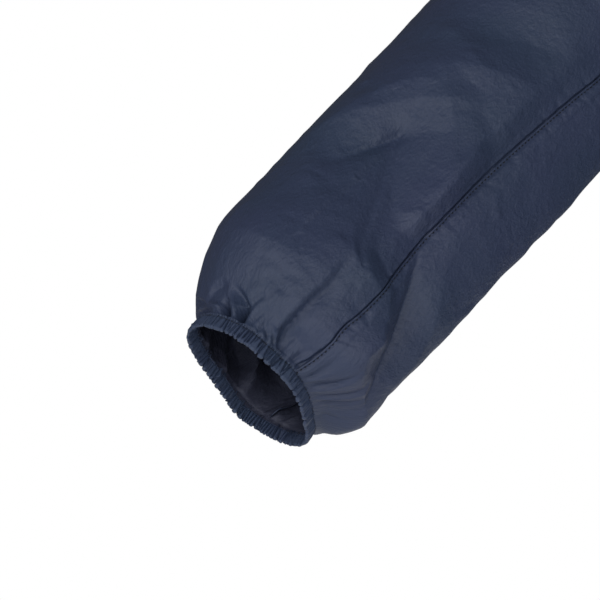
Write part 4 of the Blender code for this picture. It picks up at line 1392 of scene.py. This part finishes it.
@dataclass
class Sleeve:
    """One sleeve: an upper panel and a narrower under panel, sewn along two seams."""

    side: Side
    form: SleeveForm = SleeveForm()
    fineness: float = 1.0
    row_gaps: tuple = ((25, 0.7), (235, 1.15), (560, 4.0))
    seed: int = 11
    folds: tuple = SLEEVE_FOLDS + CUFF_FOLDS + MOUTH_FOLDS + ARM_FOLDS
    seam: LappedSeam = LappedSeam()
    fade_start: float = 0.02
    fade: float = 0.06
    seam_sway: float = 60.0
    tuck_down: float = 1.6
    tuck_in: float = 1.1
    # Thick stitches, dark as painted shade, stand for the dimples along the seams.
    thread: Thread = Thread(length=0.0014, pitch=0.0025, radius=0.00044)
    upper_flat: tuple[float, float] = (0.340, 0.600)
    upper_area: float = 0.166
    under_flat: tuple[float, float] = (0.165, 0.575)
    under_area: float = 0.078

    def rows(self) -> np.ndarray:
        """Distances above the casing, in millimetres."""
        gaps = tuple((limit, gap * self.fineness) for limit, gap in self.row_gaps)
        return stations(0.0, self.form.length / MM, gaps)

    def turned(self, across: np.ndarray, up: np.ndarray) -> np.ndarray:
        """Angles of a grid, with the front seam's own line worked in."""
        sway = smooth_at(self.form.front_seam, "from_cuff", "round_deg", up) - self.form.seam_deg
        near = 1 - ease(np.abs(across - self.form.seam_deg) / self.seam_sway)
        return across[None, :] + sway[:, None] * near[None, :]

    def dressed(self, panel: Panel, over: bool) -> Panel:
        """Lays folds, gathers, crinkles and the seams' own shape on a panel.

        Args:
            panel: The panel with no folds.
            over: Whether its edges lie on top at the seams.

        Returns:
            The dressed panel.
        """
        across, up = panel.flat[..., 0] / MM, panel.flat[..., 1] / MM
        seed = self.seed
        strewn = (
            Scatter(seed, 420, (-70, 290), (4, 240), (7, 24), (0.12, 0.46), (2.0, 5.0)).folds()
            + Scatter(seed + 1, 110, (-70, 290), (230, 540), (14, 44), (0.3, 0.9), (5.0, 11.0)).folds()
            + Scatter(seed + 2, 70, (-70, 290), (4, 240), (20, 55), (0.3, 0.9), (6.0, 12.0), 75, 40).folds()
        )
        folds = self.folds + strewn + Gathers(seed + 3).folds()
        height = sum(laid(folds, across + turn, up) for turn in (-360, 0, 360))
        left, right = panel.edge_distance("left") / MM, panel.edge_distance("right") / MM
        for number, away in enumerate((left, right)):
            away = -away if over else away - self.seam.overlap
            pulls = Puckers(seed + 4 + number, self.form.length / MM).folds()
            height = height + laid(pulls, away, up)
            height = height + (self.seam.over(-away) if over else self.seam.under(away))
        top = self.form.length - panel.flat[..., 1]
        height = height * ease((top - self.fade_start) / self.fade + 0.35) * ease(up / 1.6)
        return panel.raised(height * MM)

    def panel(self, name: str, start: float, end: float, spacing: tuple) -> Panel:
        """A plain panel of the right sleeve between two angles, its foot tucked in the casing."""
        up = self.rows()
        across = self.turned(stations(start, end, spacing), up)
        points = self.form.points(up * MM, across)
        down = unit(self.form.arm_line()[2][-1])
        middle = self.form.points(up[:1] * MM, np.arange(0.0, 360.0, 5.0)[None])[0].mean(axis=0)
        inward = unit(middle - points[0])
        points[0] += (down * self.tuck_down + inward * self.tuck_in) * MM
        centre = points.mean(axis=1, keepdims=True)
        flat = np.stack([across * MM, np.broadcast_to(up[:, None] * MM, across.shape)], axis=-1)
        return Panel(name, points, normals_of(points, points - centre), flat)

    def build(self, materials: Materials) -> None:
        """Makes both panels and the stitches along their seams."""
        step, seam = self.fineness, self.form.seam_deg
        fine, coarse = 1.15 * step, 2.3 * step
        low, high = seam - self.seam.overlap, 360 - seam + self.seam.overlap
        upper_gaps = (
            (seam - 1, 1.5), (seam + 3, 0.4 * step), (180, fine), (356 - seam, coarse), (high, 0.8 * step),
        )
        under_gaps = ((4 - seam, 0.8 * step), (0, coarse), (seam - 9, fine), (seam, 0.4 * step))
        word = self.side.word
        upper = self.dressed(self.panel(f"sleeve_upper_{word}", low, high, upper_gaps), False)
        under = self.dressed(self.panel(f"sleeve_under_{word}", -seam, seam, under_gaps), True)
        offset = self.seam.stitch_in * MM
        lines = [under.beside("left", offset), under.beside("right", offset)]
        if self.side is Side.LEFT:
            upper, under = upper.mirrored(upper.name), under.mirrored(under.name)
            lines = [(points * MIRROR, normals * MIRROR) for points, normals in lines]
        name = f"seam_stitches_sleeve_{word}"
        stitches = self.thread.sew(name, lines, materials["thread"])
        show(stitches, "shell")
        cuts = ((upper, self.upper_flat, self.upper_area), (under, self.under_flat, self.under_area))
        for panel, flat, area in cuts:
            piece = panel.build(materials["shell"], materials["inside"])
            show(piece, "shell", panel.name)
            log.info("%s: cloth area %.4f m2 against %.4f", panel.name, panel.area(), area)


@dataclass
class Casing:
    """The elastic casing at a sleeve's mouth: a band of doubled cloth, drawn into ribs."""

    side: Side
    form: SleeveForm = SleeveForm()
    seed: int = 5
    samples: int = 8
    depth: float = 8.8
    wall: float = 2.4
    proud: float = 0.45
    ribs: int = 153
    rib_height: float = 1.55
    groove_width: float = 0.36
    stitch_down: float = 1.1
    pinch: float = 0.45
    pinch_width: float = 0.6
    # The band's stitches are dark as painted shade along its stitch line.
    thread: Thread = Thread(length=0.0013, pitch=0.0018, radius=0.00017)
    flat: tuple[float, float] = (0.320, 0.0105)

    def section(self) -> tuple[np.ndarray, np.ndarray, np.ndarray, np.ndarray]:
        """The band's section: how far down and in, and which way it faces, all round it.

        Returns:
            Down, deep, and the parts of the outward facing that point down and in.
        """
        top, half = 0.15, self.wall / 2
        face = np.linspace(0, 1, 13)[:-1]
        bend = np.linspace(0, np.pi, 9)
        low = self.depth - half
        drop = low - top
        down = np.concatenate([top + drop * face, low + half * np.sin(bend), top + drop * (1 - face[1:])])
        deep = np.concatenate([np.zeros(12), half - half * np.cos(bend), np.full(11, self.wall)])
        face_down = np.concatenate([np.zeros(12), np.sin(bend), np.zeros(11)])
        face_in = np.concatenate([np.full(12, -1.0), -np.cos(bend), np.full(11, 1.0)])
        return down, deep, face_down, face_in

    def grooves(self, run: np.ndarray, length: float, down: np.ndarray, inner: np.ndarray) -> np.ndarray:
        """Depth of the grooves between the ribs, which differ in width, depth and reach.

        Args:
            run: Distance round the mouth at each station, in millimetres.
            length: The mouth's length, in millimetres.
            down: How far down the band each point of the section is, in millimetres.
            inner: Which points of the section are on the inner face.

        Returns:
            Heights by station and by point of the section, in millimetres.
        """
        draw = np.random.default_rng(self.seed)
        edges = np.cumsum(draw.uniform(0.55, 1.45, self.ribs))
        edges *= length / edges[-1]
        deep = 0.45 + draw.gamma(1.1, 0.50, self.ribs).clip(0, 1.7)
        reach = draw.uniform(0.25, 1.25, self.ribs)
        lean = draw.normal(0, 0.10, self.ribs)
        even = draw.uniform(0.7, 1.2, self.ribs)
        total = np.zeros((len(run), len(down)))
        share = down / self.depth
        for number in range(self.ribs):
            away = run[:, None] - edges[number] - lean[number] * down[None]
            away = np.abs((away + length / 2) % length - length / 2)
            near = away.min(axis=1) < 2.5
            outer = deep[number] * (1 - ease((share - reach[number]) / 0.35 + 0.5)) + 0.25
            shown = np.where(inner, even[number], outer)
            width = np.where(inner, 1.25, 1.0) * self.groove_width
            total[near] -= shown[None] * np.exp(-((away[near] / width[None]) ** 1.3))
        return total * self.rib_height

    def build(self, materials: Materials) -> None:
        """Makes the band and its row of stitches."""
        down, deep, face_down, face_in = self.section()
        count = self.ribs * self.samples
        angles = np.arange(count) * 360.0 / count
        ring = self.form.points(np.array([0.0]), angles[None])[0]
        way = unit(self.form.arm_line()[2][-1])
        along = np.roll(ring, -1, axis=0) - np.roll(ring, 1, axis=0)
        outward = unit(np.cross(along, way))
        outward *= np.sign(np.sum(outward * (ring - ring.mean(axis=0)), axis=1, keepdims=True))
        inner = face_in > 0.5
        hops = np.linalg.norm(ring - np.roll(ring, 1, axis=0), axis=1) / MM
        pinch = self.pinch * np.exp(-(((down - self.stitch_down) / self.pinch_width) ** 2))
        rib = self.grooves(np.cumsum(hops), hops.sum(), down, inner) - pinch
        rib = rib + 0.3 * smooth_noise(self.seed + 2, count, 40)[:, None] * (down / self.depth)
        scallop = 0.35 * smooth_noise(self.seed + 3, count, 60)[:, None] * (down / self.depth) ** 2
        moved_down = down + rib * face_down + scallop
        moved_in = deep - self.proud + rib * face_in
        points = ring[:, None] + (way * moved_down[..., None] - outward[:, None] * moved_in[..., None]) * MM
        normals = unit(way * face_down[None, :, None] - outward[:, None] * face_in[None, :, None])
        if self.side is Side.LEFT:
            points, normals = points * MIRROR, normals * MIRROR
        piece = ring_mesh(f"cuff_{self.side.word}_cloth", points, normals, materials["casing"])
        show(piece, "casing", f"cuff_{self.side.word}")
        f"sleeve_upper_{self.side.word}_cloth"
        lines = []
        for chosen in (~inner, inner):
            column = np.flatnonzero(chosen)[np.argmin(np.abs(down[chosen] - self.stitch_down))]
            line, facing = points[:, column], normals[:, column]
            lines.append((np.vstack([line, line[:1]]), np.vstack([facing, facing[:1]])))
        name = f"cuff_stitches_{self.side.word}"
        stitches = self.thread.sew(name, lines, materials["thread"])
        show(stitches, "casing")


def smooth_noise(seed: int, count: int, waves: int) -> np.ndarray:
    """Uneven soft waves round a closed ring, from about -1 to 1."""
    draw = np.random.default_rng(seed)
    turn = np.arange(count) / count * 2 * np.pi
    total = np.zeros(count)
    for wave in range(1, waves + 1):
        total += draw.normal() * np.cos(wave * turn + draw.uniform(0, 2 * np.pi))
    return total / np.abs(total).max()


def ring_mesh(
    name: str, points: np.ndarray, normals: np.ndarray, material: bpy.types.Material
) -> bpy.types.Object:
    """Makes a closed ring whose section is closed too.

    Args:
        name: The piece's name.
        points: Points by station round the ring and round the section.
        normals: The outward facing at each.
        material: Its finish.

    Returns:
        The ring as one piece.
    """
    count, size = points.shape[:2]
    at = np.arange(count * size).reshape(count, size)
    beside, ahead = np.roll(at, -1, axis=1), np.roll(at, -1, axis=0)
    faces = np.stack([at, beside, np.roll(ahead, -1, axis=1), ahead], axis=-1).reshape(-1, 4)
    corner = points.reshape(-1, 3)[faces]
    facing = np.cross(corner[:, 1] - corner[:, 0], corner[:, 3] - corner[:, 0])
    if np.sum(facing * normals.reshape(-1, 3)[faces[:, 0]]) < 0:
        faces = faces[:, ::-1]
    round_run = np.cumsum(np.linalg.norm(points[:, 0] - np.roll(points[:, 0], 1, axis=0), axis=1))
    run = np.concatenate([[0.0], np.cumsum(np.linalg.norm(np.diff(points[0], axis=0), axis=1))])
    flat = np.stack(np.broadcast_arrays(round_run[:, None], run[None]), axis=-1).reshape(-1, 2)
    return mesh_object(name, points.reshape(-1, 3), faces, flat, material)


# The trunk and collar

# Folds as seen from the front or the back: millimetres out from the centre line and up from the
# shoulders, with their heights
FRONT_FOLDS = (
    Fold(((176, -262, -1.0), (130, -292, -6.0), (84, -332, -4.5), (58, -360, -0.5)), 26, 34),
    Fold(((196, -318, -1.0), (148, -366, -6.5), (98, -418, -5.0), (72, -452, -0.5)), 26, 36),
    Fold(((186, -446, -1.0), (128, -482, -5.0), (66, -520, -3.5)), 28, 34),
    Fold(((150, -598, 1.0), (116, -566, 5.0), (74, -544, 3.0)), 30, 34),
    Fold(((128, -96, -1.0), (102, -142, -4.0), (80, -196, -2.5), (72, -232, -0.3)), 22, 26),
    Fold(((170, -150, -0.5), (158, -196, -3.6), (150, -246, -2.0)), 16, 22),
    Fold(((40, -150, 0.5), (52, -250, 2.6), (44, -380, 3.0), (52, -500, 2.4), (44, -640, 1.0)), 24, 30),
    Fold(((200, -560, -0.5), (190, -610, -4.0), (184, -664, -4.5)), 20, 24),
    Fold(((130, -560, 0.2), (136, -620, 3.2), (140, -665, 4.2)), 22, 26),
    Fold(((88, -590, -0.2), (86, -630, -2.6), (84, -665, -3.4)), 18, 20),
    Fold(((120, -208, 0.5), (92, -256, 3.4), (66, -300, 0.5)), 20, 24),
)
BACK_FOLDS = (
    Fold(((180, -240, -1.0), (128, -268, -6.5), (66, -300, -5.0), (20, -312, -1.5)), 28, 36),
    Fold(((192, -330, -1.0), (120, -372, -6.5), (44, -402, -5.0), (0, -410, -2.5)), 30, 40),
    Fold(((180, -470, -1.0), (104, -470, -5.5), (26, -448, -4.0)), 30, 36),
    Fold(((152, -545, 0.5), (118, -598, 5.5), (98, -665, 5.0)), 30, 34),
    Fold(((58, -50, 1.0), (34, -96, 3.6), (18, -150, 0.5)), 24, 28),
    Fold(((150, -90, -0.5), (140, -150, -4.0), (146, -220, -3.0)), 22, 28),
    Fold(((60, -580, -0.3), (52, -626, -3.4), (50, -665, -4.0)), 22, 24),
    Fold(((192, -590, -0.3), (182, -630, -3.4), (176, -665, -4.0)), 18, 22),
    Fold(((0, -200, 0.6), (8, -300, 2.8), (4, -360, 1.0)), 26, 26),
)


@dataclass
class Trunk:
    """The two fronts and the back, with a turned hem."""

    form: TrunkForm = TrunkForm()
    fineness: int = 7
    seed: int = 41
    hem_rise: float = 0.35
    hem_depth: float = 21
    hem_edge: float = 1.5
    hem_stitch: float = 0.020
    hem_pinch: float = 0.35
    hem_pinch_width: float = 0.9
    fold_shift: tuple[float, float] = (6, 5)
    edge_in: float = 0.0015
    thread: Thread = Thread(length=0.0021, pitch=0.0030)
    front_flat: tuple[float, float] = (0.310, 0.680)
    front_area: float = 0.166
    back_flat: tuple[float, float] = (0.600, 0.690)
    back_area: float = 0.352

    def relief(self, x: np.ndarray, z: np.ndarray, folds: tuple, seed: int) -> np.ndarray:
        """Height of folds and the hem, in millimetres, at places in metres."""
        across, up = x / MM, z / MM
        strewn = (
            Scatter(seed, 90, (-235, 235), (-665, 0), (20, 60), (0.25, 0.9), (6.0, 13.0)).folds()
            + Scatter(seed + 1, 150, (-235, 235), (-665, 0), (10, 28), (0.15, 0.45), (4.0, 7.0)).folds()
        )
        half = np.sign(across)
        aside, higher = self.fold_shift
        height = laid(folds, np.abs(across) + aside * half, up + higher * half) + laid(strewn, across, up)
        above = up - self.form.hem_z / MM
        hem = self.hem_rise * (1 - ease((above - self.hem_depth) / self.hem_edge))
        hem -= self.hem_pinch * np.exp(-(((above - self.hem_stitch / MM) / self.hem_pinch_width) ** 2))
        return height + hem

    def panel(self, name: str, face: Face, halves: tuple[int, ...], folds: tuple) -> Panel:
        """One panel of the trunk, from one half of the form or both."""
        x, z = self.form.half(face, self.fineness)
        if len(halves) == 2:
            x, z = np.concatenate([-x[:, :0:-1], x], axis=1), np.concatenate([z[:, :0:-1], z], axis=1)
        elif halves[0] < 0:
            x, z = -x[:, ::-1], z[:, ::-1]
        points = self.form.points(x, z, face)
        outward = np.broadcast_to([0.0, float(face.value), 0.0], points.shape)
        plain = Panel(name, points, normals_of(points, outward), np.stack([x, z], axis=-1))
        height = self.relief(x, z, folds, self.seed + (halves[0] * face.value) * 7)
        edges = ["left", "right", "high"]
        away = np.minimum.reduce([plain.edge_distance(edge) for edge in edges]) / MM
        held = ease(away / 46 + 0.08)
        seam = 0.30 * (1 - ease((away - 5) / 2)) - 0.55 * (1 - ease(away / 0.9))
        return plain.raised((height * held + seam) * MM)

    def build(self, materials: Materials) -> dict[str, Panel]:
        """Makes the three panels and their stitches."""
        panels = {
            "front_left": self.panel("front_left", Face.FRONT, (1,), FRONT_FOLDS),
            "front_right": self.panel("front_right", Face.FRONT, (-1,), FRONT_FOLDS),
            "back": self.panel("back", Face.BACK, (-1, 1), BACK_FOLDS),
        }
        sizes = {name: (self.front_flat, self.front_area) for name in panels}
        sizes["back"] = (self.back_flat, self.back_area)
        lines = []
        for name, panel in panels.items():
            piece = panel.build(materials["shell"], materials["inside"])
            show(piece, "shell", name)
            flat, area = sizes[name]
            log.info("%s: cloth area %.4f m2 against %.4f", name, panel.area(), area)
            lines.append(panel.beside("low", self.hem_stitch))
            lines.append(panel.beside("high", self.edge_in))
            lines += [panel.beside(edge, self.edge_in) for edge in ("left", "right")]
        show(self.thread.sew("seam_stitches_trunk", lines, materials["thread"]), "shell")
        return panels


@dataclass
class Collar:
    """The stand collar, of doubled cloth, open at the front for the zip."""

    form: TrunkForm = TrunkForm()
    fineness: int = 8
    rows: int = 34
    front: float = 0.064
    side: float = 0.053
    back: float = 0.056
    lean: float = 0.012
    draw: float = 0.09
    seed: int = 63
    wall: float = 0.0012
    stitch_in: float = 0.0060
    foot_stitch: float = 0.0018
    end_stitch: float = 0.0015
    thread: Thread = Thread(length=0.0021, pitch=0.0030)
    flat: tuple[float, float] = (0.420, 0.066)

    def foot(self) -> np.ndarray:
        """Points of the neckline, from the left front edge round the back to the right."""
        steps = self.form.neck_steps * self.fineness
        turn = np.linspace(0, 1, steps + 1)
        quarter = {}
        for face in Face:
            x, z = self.form.neckline(turn, face)
            quarter[face] = self.form.points(x, z, face)
        left = np.concatenate([quarter[Face.FRONT], quarter[Face.BACK][-2::-1]])
        return np.concatenate([left, (left * MIRROR)[-2::-1]])

    def panel(self) -> Panel:
        """The collar's outer face, drawn in a little at the top and rumpled."""
        ring = self.foot()
        rise = 1 - np.clip(ring[:, 2], None, 0) / ring[:, 2].min()
        behind = np.clip(ring[:, 1], 0, None) / ring[:, 1].max()
        height = self.front + (self.side - self.front) * ease(rise) + (self.back - self.side) * ease(behind)
        t = np.linspace(0, 1, self.rows)[:, None]
        points = np.broadcast_to(ring, (self.rows,) + ring.shape).copy()
        points[..., 2] += height * t
        points[..., 0] *= 1 - self.draw * ease(t) * np.abs(ring[:, 0]) / self.form.neck_half_width
        points[..., 1] -= self.lean * t * behind
        run = np.concatenate([[0.0], np.cumsum(np.linalg.norm(np.diff(ring, axis=0), axis=1))])
        flat = np.stack(np.broadcast_arrays(run[None], height * t), axis=-1)
        outward = points - points.mean(axis=1, keepdims=True)
        plain = Panel("collar", points, normals_of(points, outward), flat, self.wall)
        across, up = flat[..., 0] / MM, flat[..., 1] / MM
        strewn = (
            Scatter(self.seed, 60, (0, 430), (0, 66), (16, 46), (0.3, 1.3), (5.0, 11.0), 80, 30).folds()
            + Scatter(self.seed + 1, 110, (0, 430), (0, 66), (6, 18), (0.1, 0.4), (2.0, 5.0)).folds()
        )
        low, high = plain.edge_distance("low") / MM, plain.edge_distance("high") / MM
        ends = np.minimum(plain.edge_distance("left"), plain.edge_distance("right")) / MM
        held = ease(low / 9) * ease(ends / 14 + 0.15)
        edge = -0.7 * (1 - ease(np.minimum(high, low) / 1.4)) - 0.3 * np.exp(-(((high - 6) / 0.9) ** 2))
        return plain.raised((laid(strewn, across, up) * held + edge) * MM)

    def build(self, materials: Materials) -> Panel:
        """Makes the collar and its stitches."""
        panel = self.panel()
        piece = panel.build(materials["shell"])
        show(piece, "shell", "collar")
        log.info("collar: cloth area %.4f m2 against %.4f", panel.area(), self.flat[0] * self.flat[1])
        lines = [panel.beside("high", self.stitch_in), panel.beside("low", self.foot_stitch)]
        lines += [panel.beside(edge, self.end_stitch) for edge in ("left", "right")]
        show(self.thread.sew("seam_stitches_collar", lines, materials["thread"]), "shell")
        return panel


# The zip


@dataclass
class Zip:
    """The closed coil zip: two tapes behind the front edges, the coil, slider, pull and box."""

    tape_inner: float = 0.0030
    tape_under_coil: float = 0.0003
    tape_outer: float = 0.0140
    tape_behind: float = 0.0017
    tape_wall: float = 0.0006
    coil_half: float = 0.0024
    tooth_pitch: float = 0.0015
    tooth_width: float = 0.0008
    tooth_height: float = 0.0011
    above_hem: float = 0.0105
    slider_length: float = 0.0136

    def tooth(self, sign: int) -> tuple[np.ndarray, np.ndarray]:
        """Models one coil loop across the zip: a rounded bar that hooks down at its inner end."""
        bpy.ops.object.select_all(action="DESELECT")
        bpy.ops.mesh.primitive_cube_add(size=1, location=(sign * self.coil_half * 0.45, 0, 0))
        obj = bpy.context.active_object
        obj.scale = (self.coil_half * 0.9, self.tooth_width, self.tooth_height * 0.7)
        bpy.ops.object.transform_apply(location=True, scale=True)
        for face in obj.data.polygons:
            face.select = face.normal.x * sign < -0.9
        bpy.ops.object.mode_set(mode="EDIT")
        bpy.ops.mesh.select_mode(type="FACE")
        move = (-sign * self.coil_half * 0.3, 0, -self.tooth_height * 0.25)
        bpy.ops.mesh.extrude_region_move(TRANSFORM_OT_translate={"value": move})
        bpy.ops.transform.resize(value=(1, 1.25, 0.6))
        bpy.ops.mesh.select_all(action="SELECT")
        bpy.ops.mesh.bevel(offset=self.tooth_width * 0.25, segments=1)
        bpy.ops.object.mode_set(mode="OBJECT")
        return taken(obj)

    def middle_line(self, front: Panel, collar: Panel) -> tuple[np.ndarray, np.ndarray]:
        """The centre front line from hem to collar top, with the way it faces."""
        edge = np.vstack([front.points[:, -1], collar.points[1:, -1]])
        line = edge * [0.0, 1.0, 1.0]
        slope = unit(np.gradient(line, axis=0))
        facing = np.stack([np.zeros(len(line)), -slope[:, 2], slope[:, 1]], axis=1)
        return line, facing

    def tape(self, side: Side, line: np.ndarray, facing: np.ndarray) -> Panel:
        """One tape behind the front's edge, met under the coil and drawn back at the box and slider."""
        coil = (line[:, 2] > line[0, 2] + self.above_hem) & (line[:, 2] < line[-1, 2] - self.slider_length)
        inner = np.where(coil, self.tape_under_coil, self.tape_inner)[:, None]
        across = inner + (self.tape_outer - inner) * np.linspace(0, 1, 9)[None]
        behind = self.tape_behind
        aside = side.value * across[..., None] * np.array([1.0, 0, 0])
        points = line[:, None] - facing[:, None] * behind + aside
        run = np.concatenate([[0.0], np.cumsum(np.linalg.norm(np.diff(line, axis=0), axis=1))])
        flat = np.stack(np.broadcast_arrays(across, run[:, None]), axis=-1)
        normals = np.broadcast_to(facing[:, None], points.shape)
        return Panel(f"zip_tape_{side.word}", points, normals, flat, self.tape_wall)

    def build(self, front: Panel, collar: Panel, materials: Materials) -> None:
        """Makes the tapes and the coil, and dresses the slider, pull and box."""
        line, facing = self.middle_line(front, collar)
        inside = line[:, 2] > line[0, 2] + 0.0004
        inside &= line[:, 2] < line[-1, 2] - 0.0004
        for side in Side:
            panel = self.tape(side, line[inside], facing[inside])
            piece = panel.build(materials["tape"])
            show(piece, "tape", panel.name)
            log.info("%s: cloth area %.4f m2", panel.name, panel.area())
            f"front_{side.word}_cloth"
        rising = line[:, 2] > line[0, 2] + self.above_hem
        rising &= line[:, 2] < line[-1, 2] - self.slider_length
        sunk = line[rising] - facing[rising] * 0.0009
        for side in Side:
            places = spots_along(sunk, facing[rising], self.tooth_pitch)
            if side is Side.LEFT:
                places[:, 3] += places[:, 0] * self.tooth_pitch / 2
            turned = np.stack([places[:, 1], places[:, 0], places[:, 2], places[:, 3]], axis=1)
            teeth = copied(f"zip_teeth_{side.word}", self.tooth(side.value), turned, materials["coil"])
            show(teeth, "coil", "zip_chain")
        for name in ("zip_slider", "zip_pull", "zip_box"):
            paint(bpy.data.objects[name], materials["metal"])


def paint(obj: bpy.types.Object, material: bpy.types.Material) -> None:
    """Gives a CAD piece a finish in every slot."""
    for slot in obj.material_slots:
        slot.link = "OBJECT"
        slot.material = material
    log.info("%s: painted", obj.name)


# The studio


@dataclass(frozen=True)
class Lamp:
    """A broad round lamp, set out from the point it lights."""

    name: str
    toward: tuple[float, float, float]
    power: float
    reach: float = 2.2
    size: float = 1.9
    mirrored_in_cloth: bool = True

    def hang(self, lit_point: Vector) -> None:
        """Hangs the lamp, facing the lit point."""
        light = bpy.data.lights.new(self.name, "AREA")
        light.shape = "DISK"
        light.size = self.size
        light.energy = self.power
        lamp = bpy.data.objects.new(self.name, light)
        lamp.visible_camera = False
        lamp.visible_glossy = self.mirrored_in_cloth
        way = Vector(self.toward).normalized()
        lamp.location = lit_point + way * self.reach
        lamp.rotation_euler = (-way).to_track_quat("-Z", "Y").to_euler()
        bpy.context.scene.collection.objects.link(lamp)


@dataclass(frozen=True)
class Studio:
    """Plain pale floor, soft light and the camera, beside the right cuff."""

    camera_at: tuple[float, float, float] = (-0.5608, -0.9807, -0.4898)
    lens: float = 100.0
    sensor: float = 36.0
    floor_z: float = -1.45
    floor_radius: float = 3.4
    floor_solid: float = 0.55
    floor_glow: float = 0.20
    front_glow: float = 0.13
    back_glow: float = 0.13
    lamps: tuple = (
        Lamp("side_lamp", (-0.64, -0.66, 0.20), 27.0),
        Lamp("front_lamp", (0.12, -0.97, 0.10), 33.0),
        Lamp("rear_lamp", (0.60, 0.76, 0.30), 60.0, mirrored_in_cloth=False),
    )
    lit_point: tuple[float, float, float] = (-0.50, -0.05, -0.42)

    def world(self) -> None:
        """A white surround to the eye, that lights softly."""
        world = bpy.data.worlds.new("studio")
        world.use_nodes = True
        graph = Graph(world.node_tree)
        world.node_tree.nodes.clear()
        seen = graph.add("Background", ("Color", (1, 1, 1, 1)), ("Strength", 1.0))
        way = graph.add("SeparateXYZ", ("Vector", graph.add("TexCoord").outputs["Generated"]))
        glow = graph.add(
            "MapRange", ("Value", way.outputs["Y"]), ("From Min", -1.0), ("From Max", 1.0),
            ("To Min", self.front_glow), ("To Max", self.back_glow),
        )
        soft = graph.add("Background", ("Color", (0.98, 0.98, 1, 1)), ("Strength", glow.outputs[0]))
        mix = graph.add(
            "MixShader",
            (0, graph.add("LightPath").outputs["Is Camera Ray"]),
            (1, soft.outputs[0]),
            (2, seen.outputs[0]),
        )
        graph.add("OutputWorld", ("Surface", mix.outputs[0]))
        bpy.context.scene.world = world

    def floor(self) -> None:
        """A pale floor that fades out at its edge."""
        bpy.ops.object.select_all(action="DESELECT")
        bpy.ops.mesh.primitive_circle_add(
            vertices=96, radius=self.floor_radius, fill_type="NGON", location=(0, 0, self.floor_z)
        )
        floor = bpy.context.active_object
        floor.name = "floor"
        material = bpy.data.materials.new("pale_floor")
        material.use_nodes = True
        graph = Graph(material.node_tree)
        shader = material.node_tree.nodes["Principled BSDF"]
        shader.inputs["Base Color"].default_value = (0.86, 0.86, 0.86, 1)
        shader.inputs["Roughness"].default_value = 0.8
        shader.inputs["Emission Color"].default_value = (1, 1, 1, 1)
        shader.inputs["Emission Strength"].default_value = self.floor_glow
        far = graph.add("VectorMath", (0, graph.add("TexCoord").outputs["Object"]), operation="LENGTH")
        fade = graph.add(
            "MapRange", ("Value", far.outputs["Value"]), ("From Min", self.floor_solid * self.floor_radius),
            ("From Max", self.floor_radius), ("To Min", 1.0), ("To Max", 0.0),
            interpolation_type="SMOOTHSTEP",
        )
        graph.tree.links.new(fade.outputs[0], shader.inputs["Alpha"])
        floor.data.materials.append(material)

    def camera(self) -> None:
        """The camera, level and looking along +Y."""
        data = bpy.data.cameras.new("camera")
        data.lens = self.lens
        data.sensor_width = self.sensor
        camera = bpy.data.objects.new("camera", data)
        camera.location = self.camera_at
        camera.rotation_euler = (math.pi / 2, 0, 0)
        bpy.context.scene.collection.objects.link(camera)
        bpy.context.scene.camera = camera

    def build(self) -> None:
        """Sets the studio up."""
        self.world()
        for lamp in self.lamps:
            lamp.hang(Vector(self.lit_point))
        self.floor()
        self.camera()
        bpy.context.scene.view_settings.view_transform = "Standard"


def main() -> None:
    """Builds the jacket and the studio."""
    logging.basicConfig(level=logging.INFO, format="%(message)s")
    materials = Wardrobe().make()
    Sleeve(Side.RIGHT).build(materials)
    Sleeve(Side.LEFT, fineness=1.9, seed=23).build(materials)
    Casing(Side.RIGHT).build(materials)
    Casing(Side.LEFT, seed=9, samples=4).build(materials)
    panels = Trunk().build(materials)
    collar = Collar().build(materials)
    Zip().build(panels["front_right"], collar, materials)
    Studio().build()


if __name__ == "__main__":
    main()
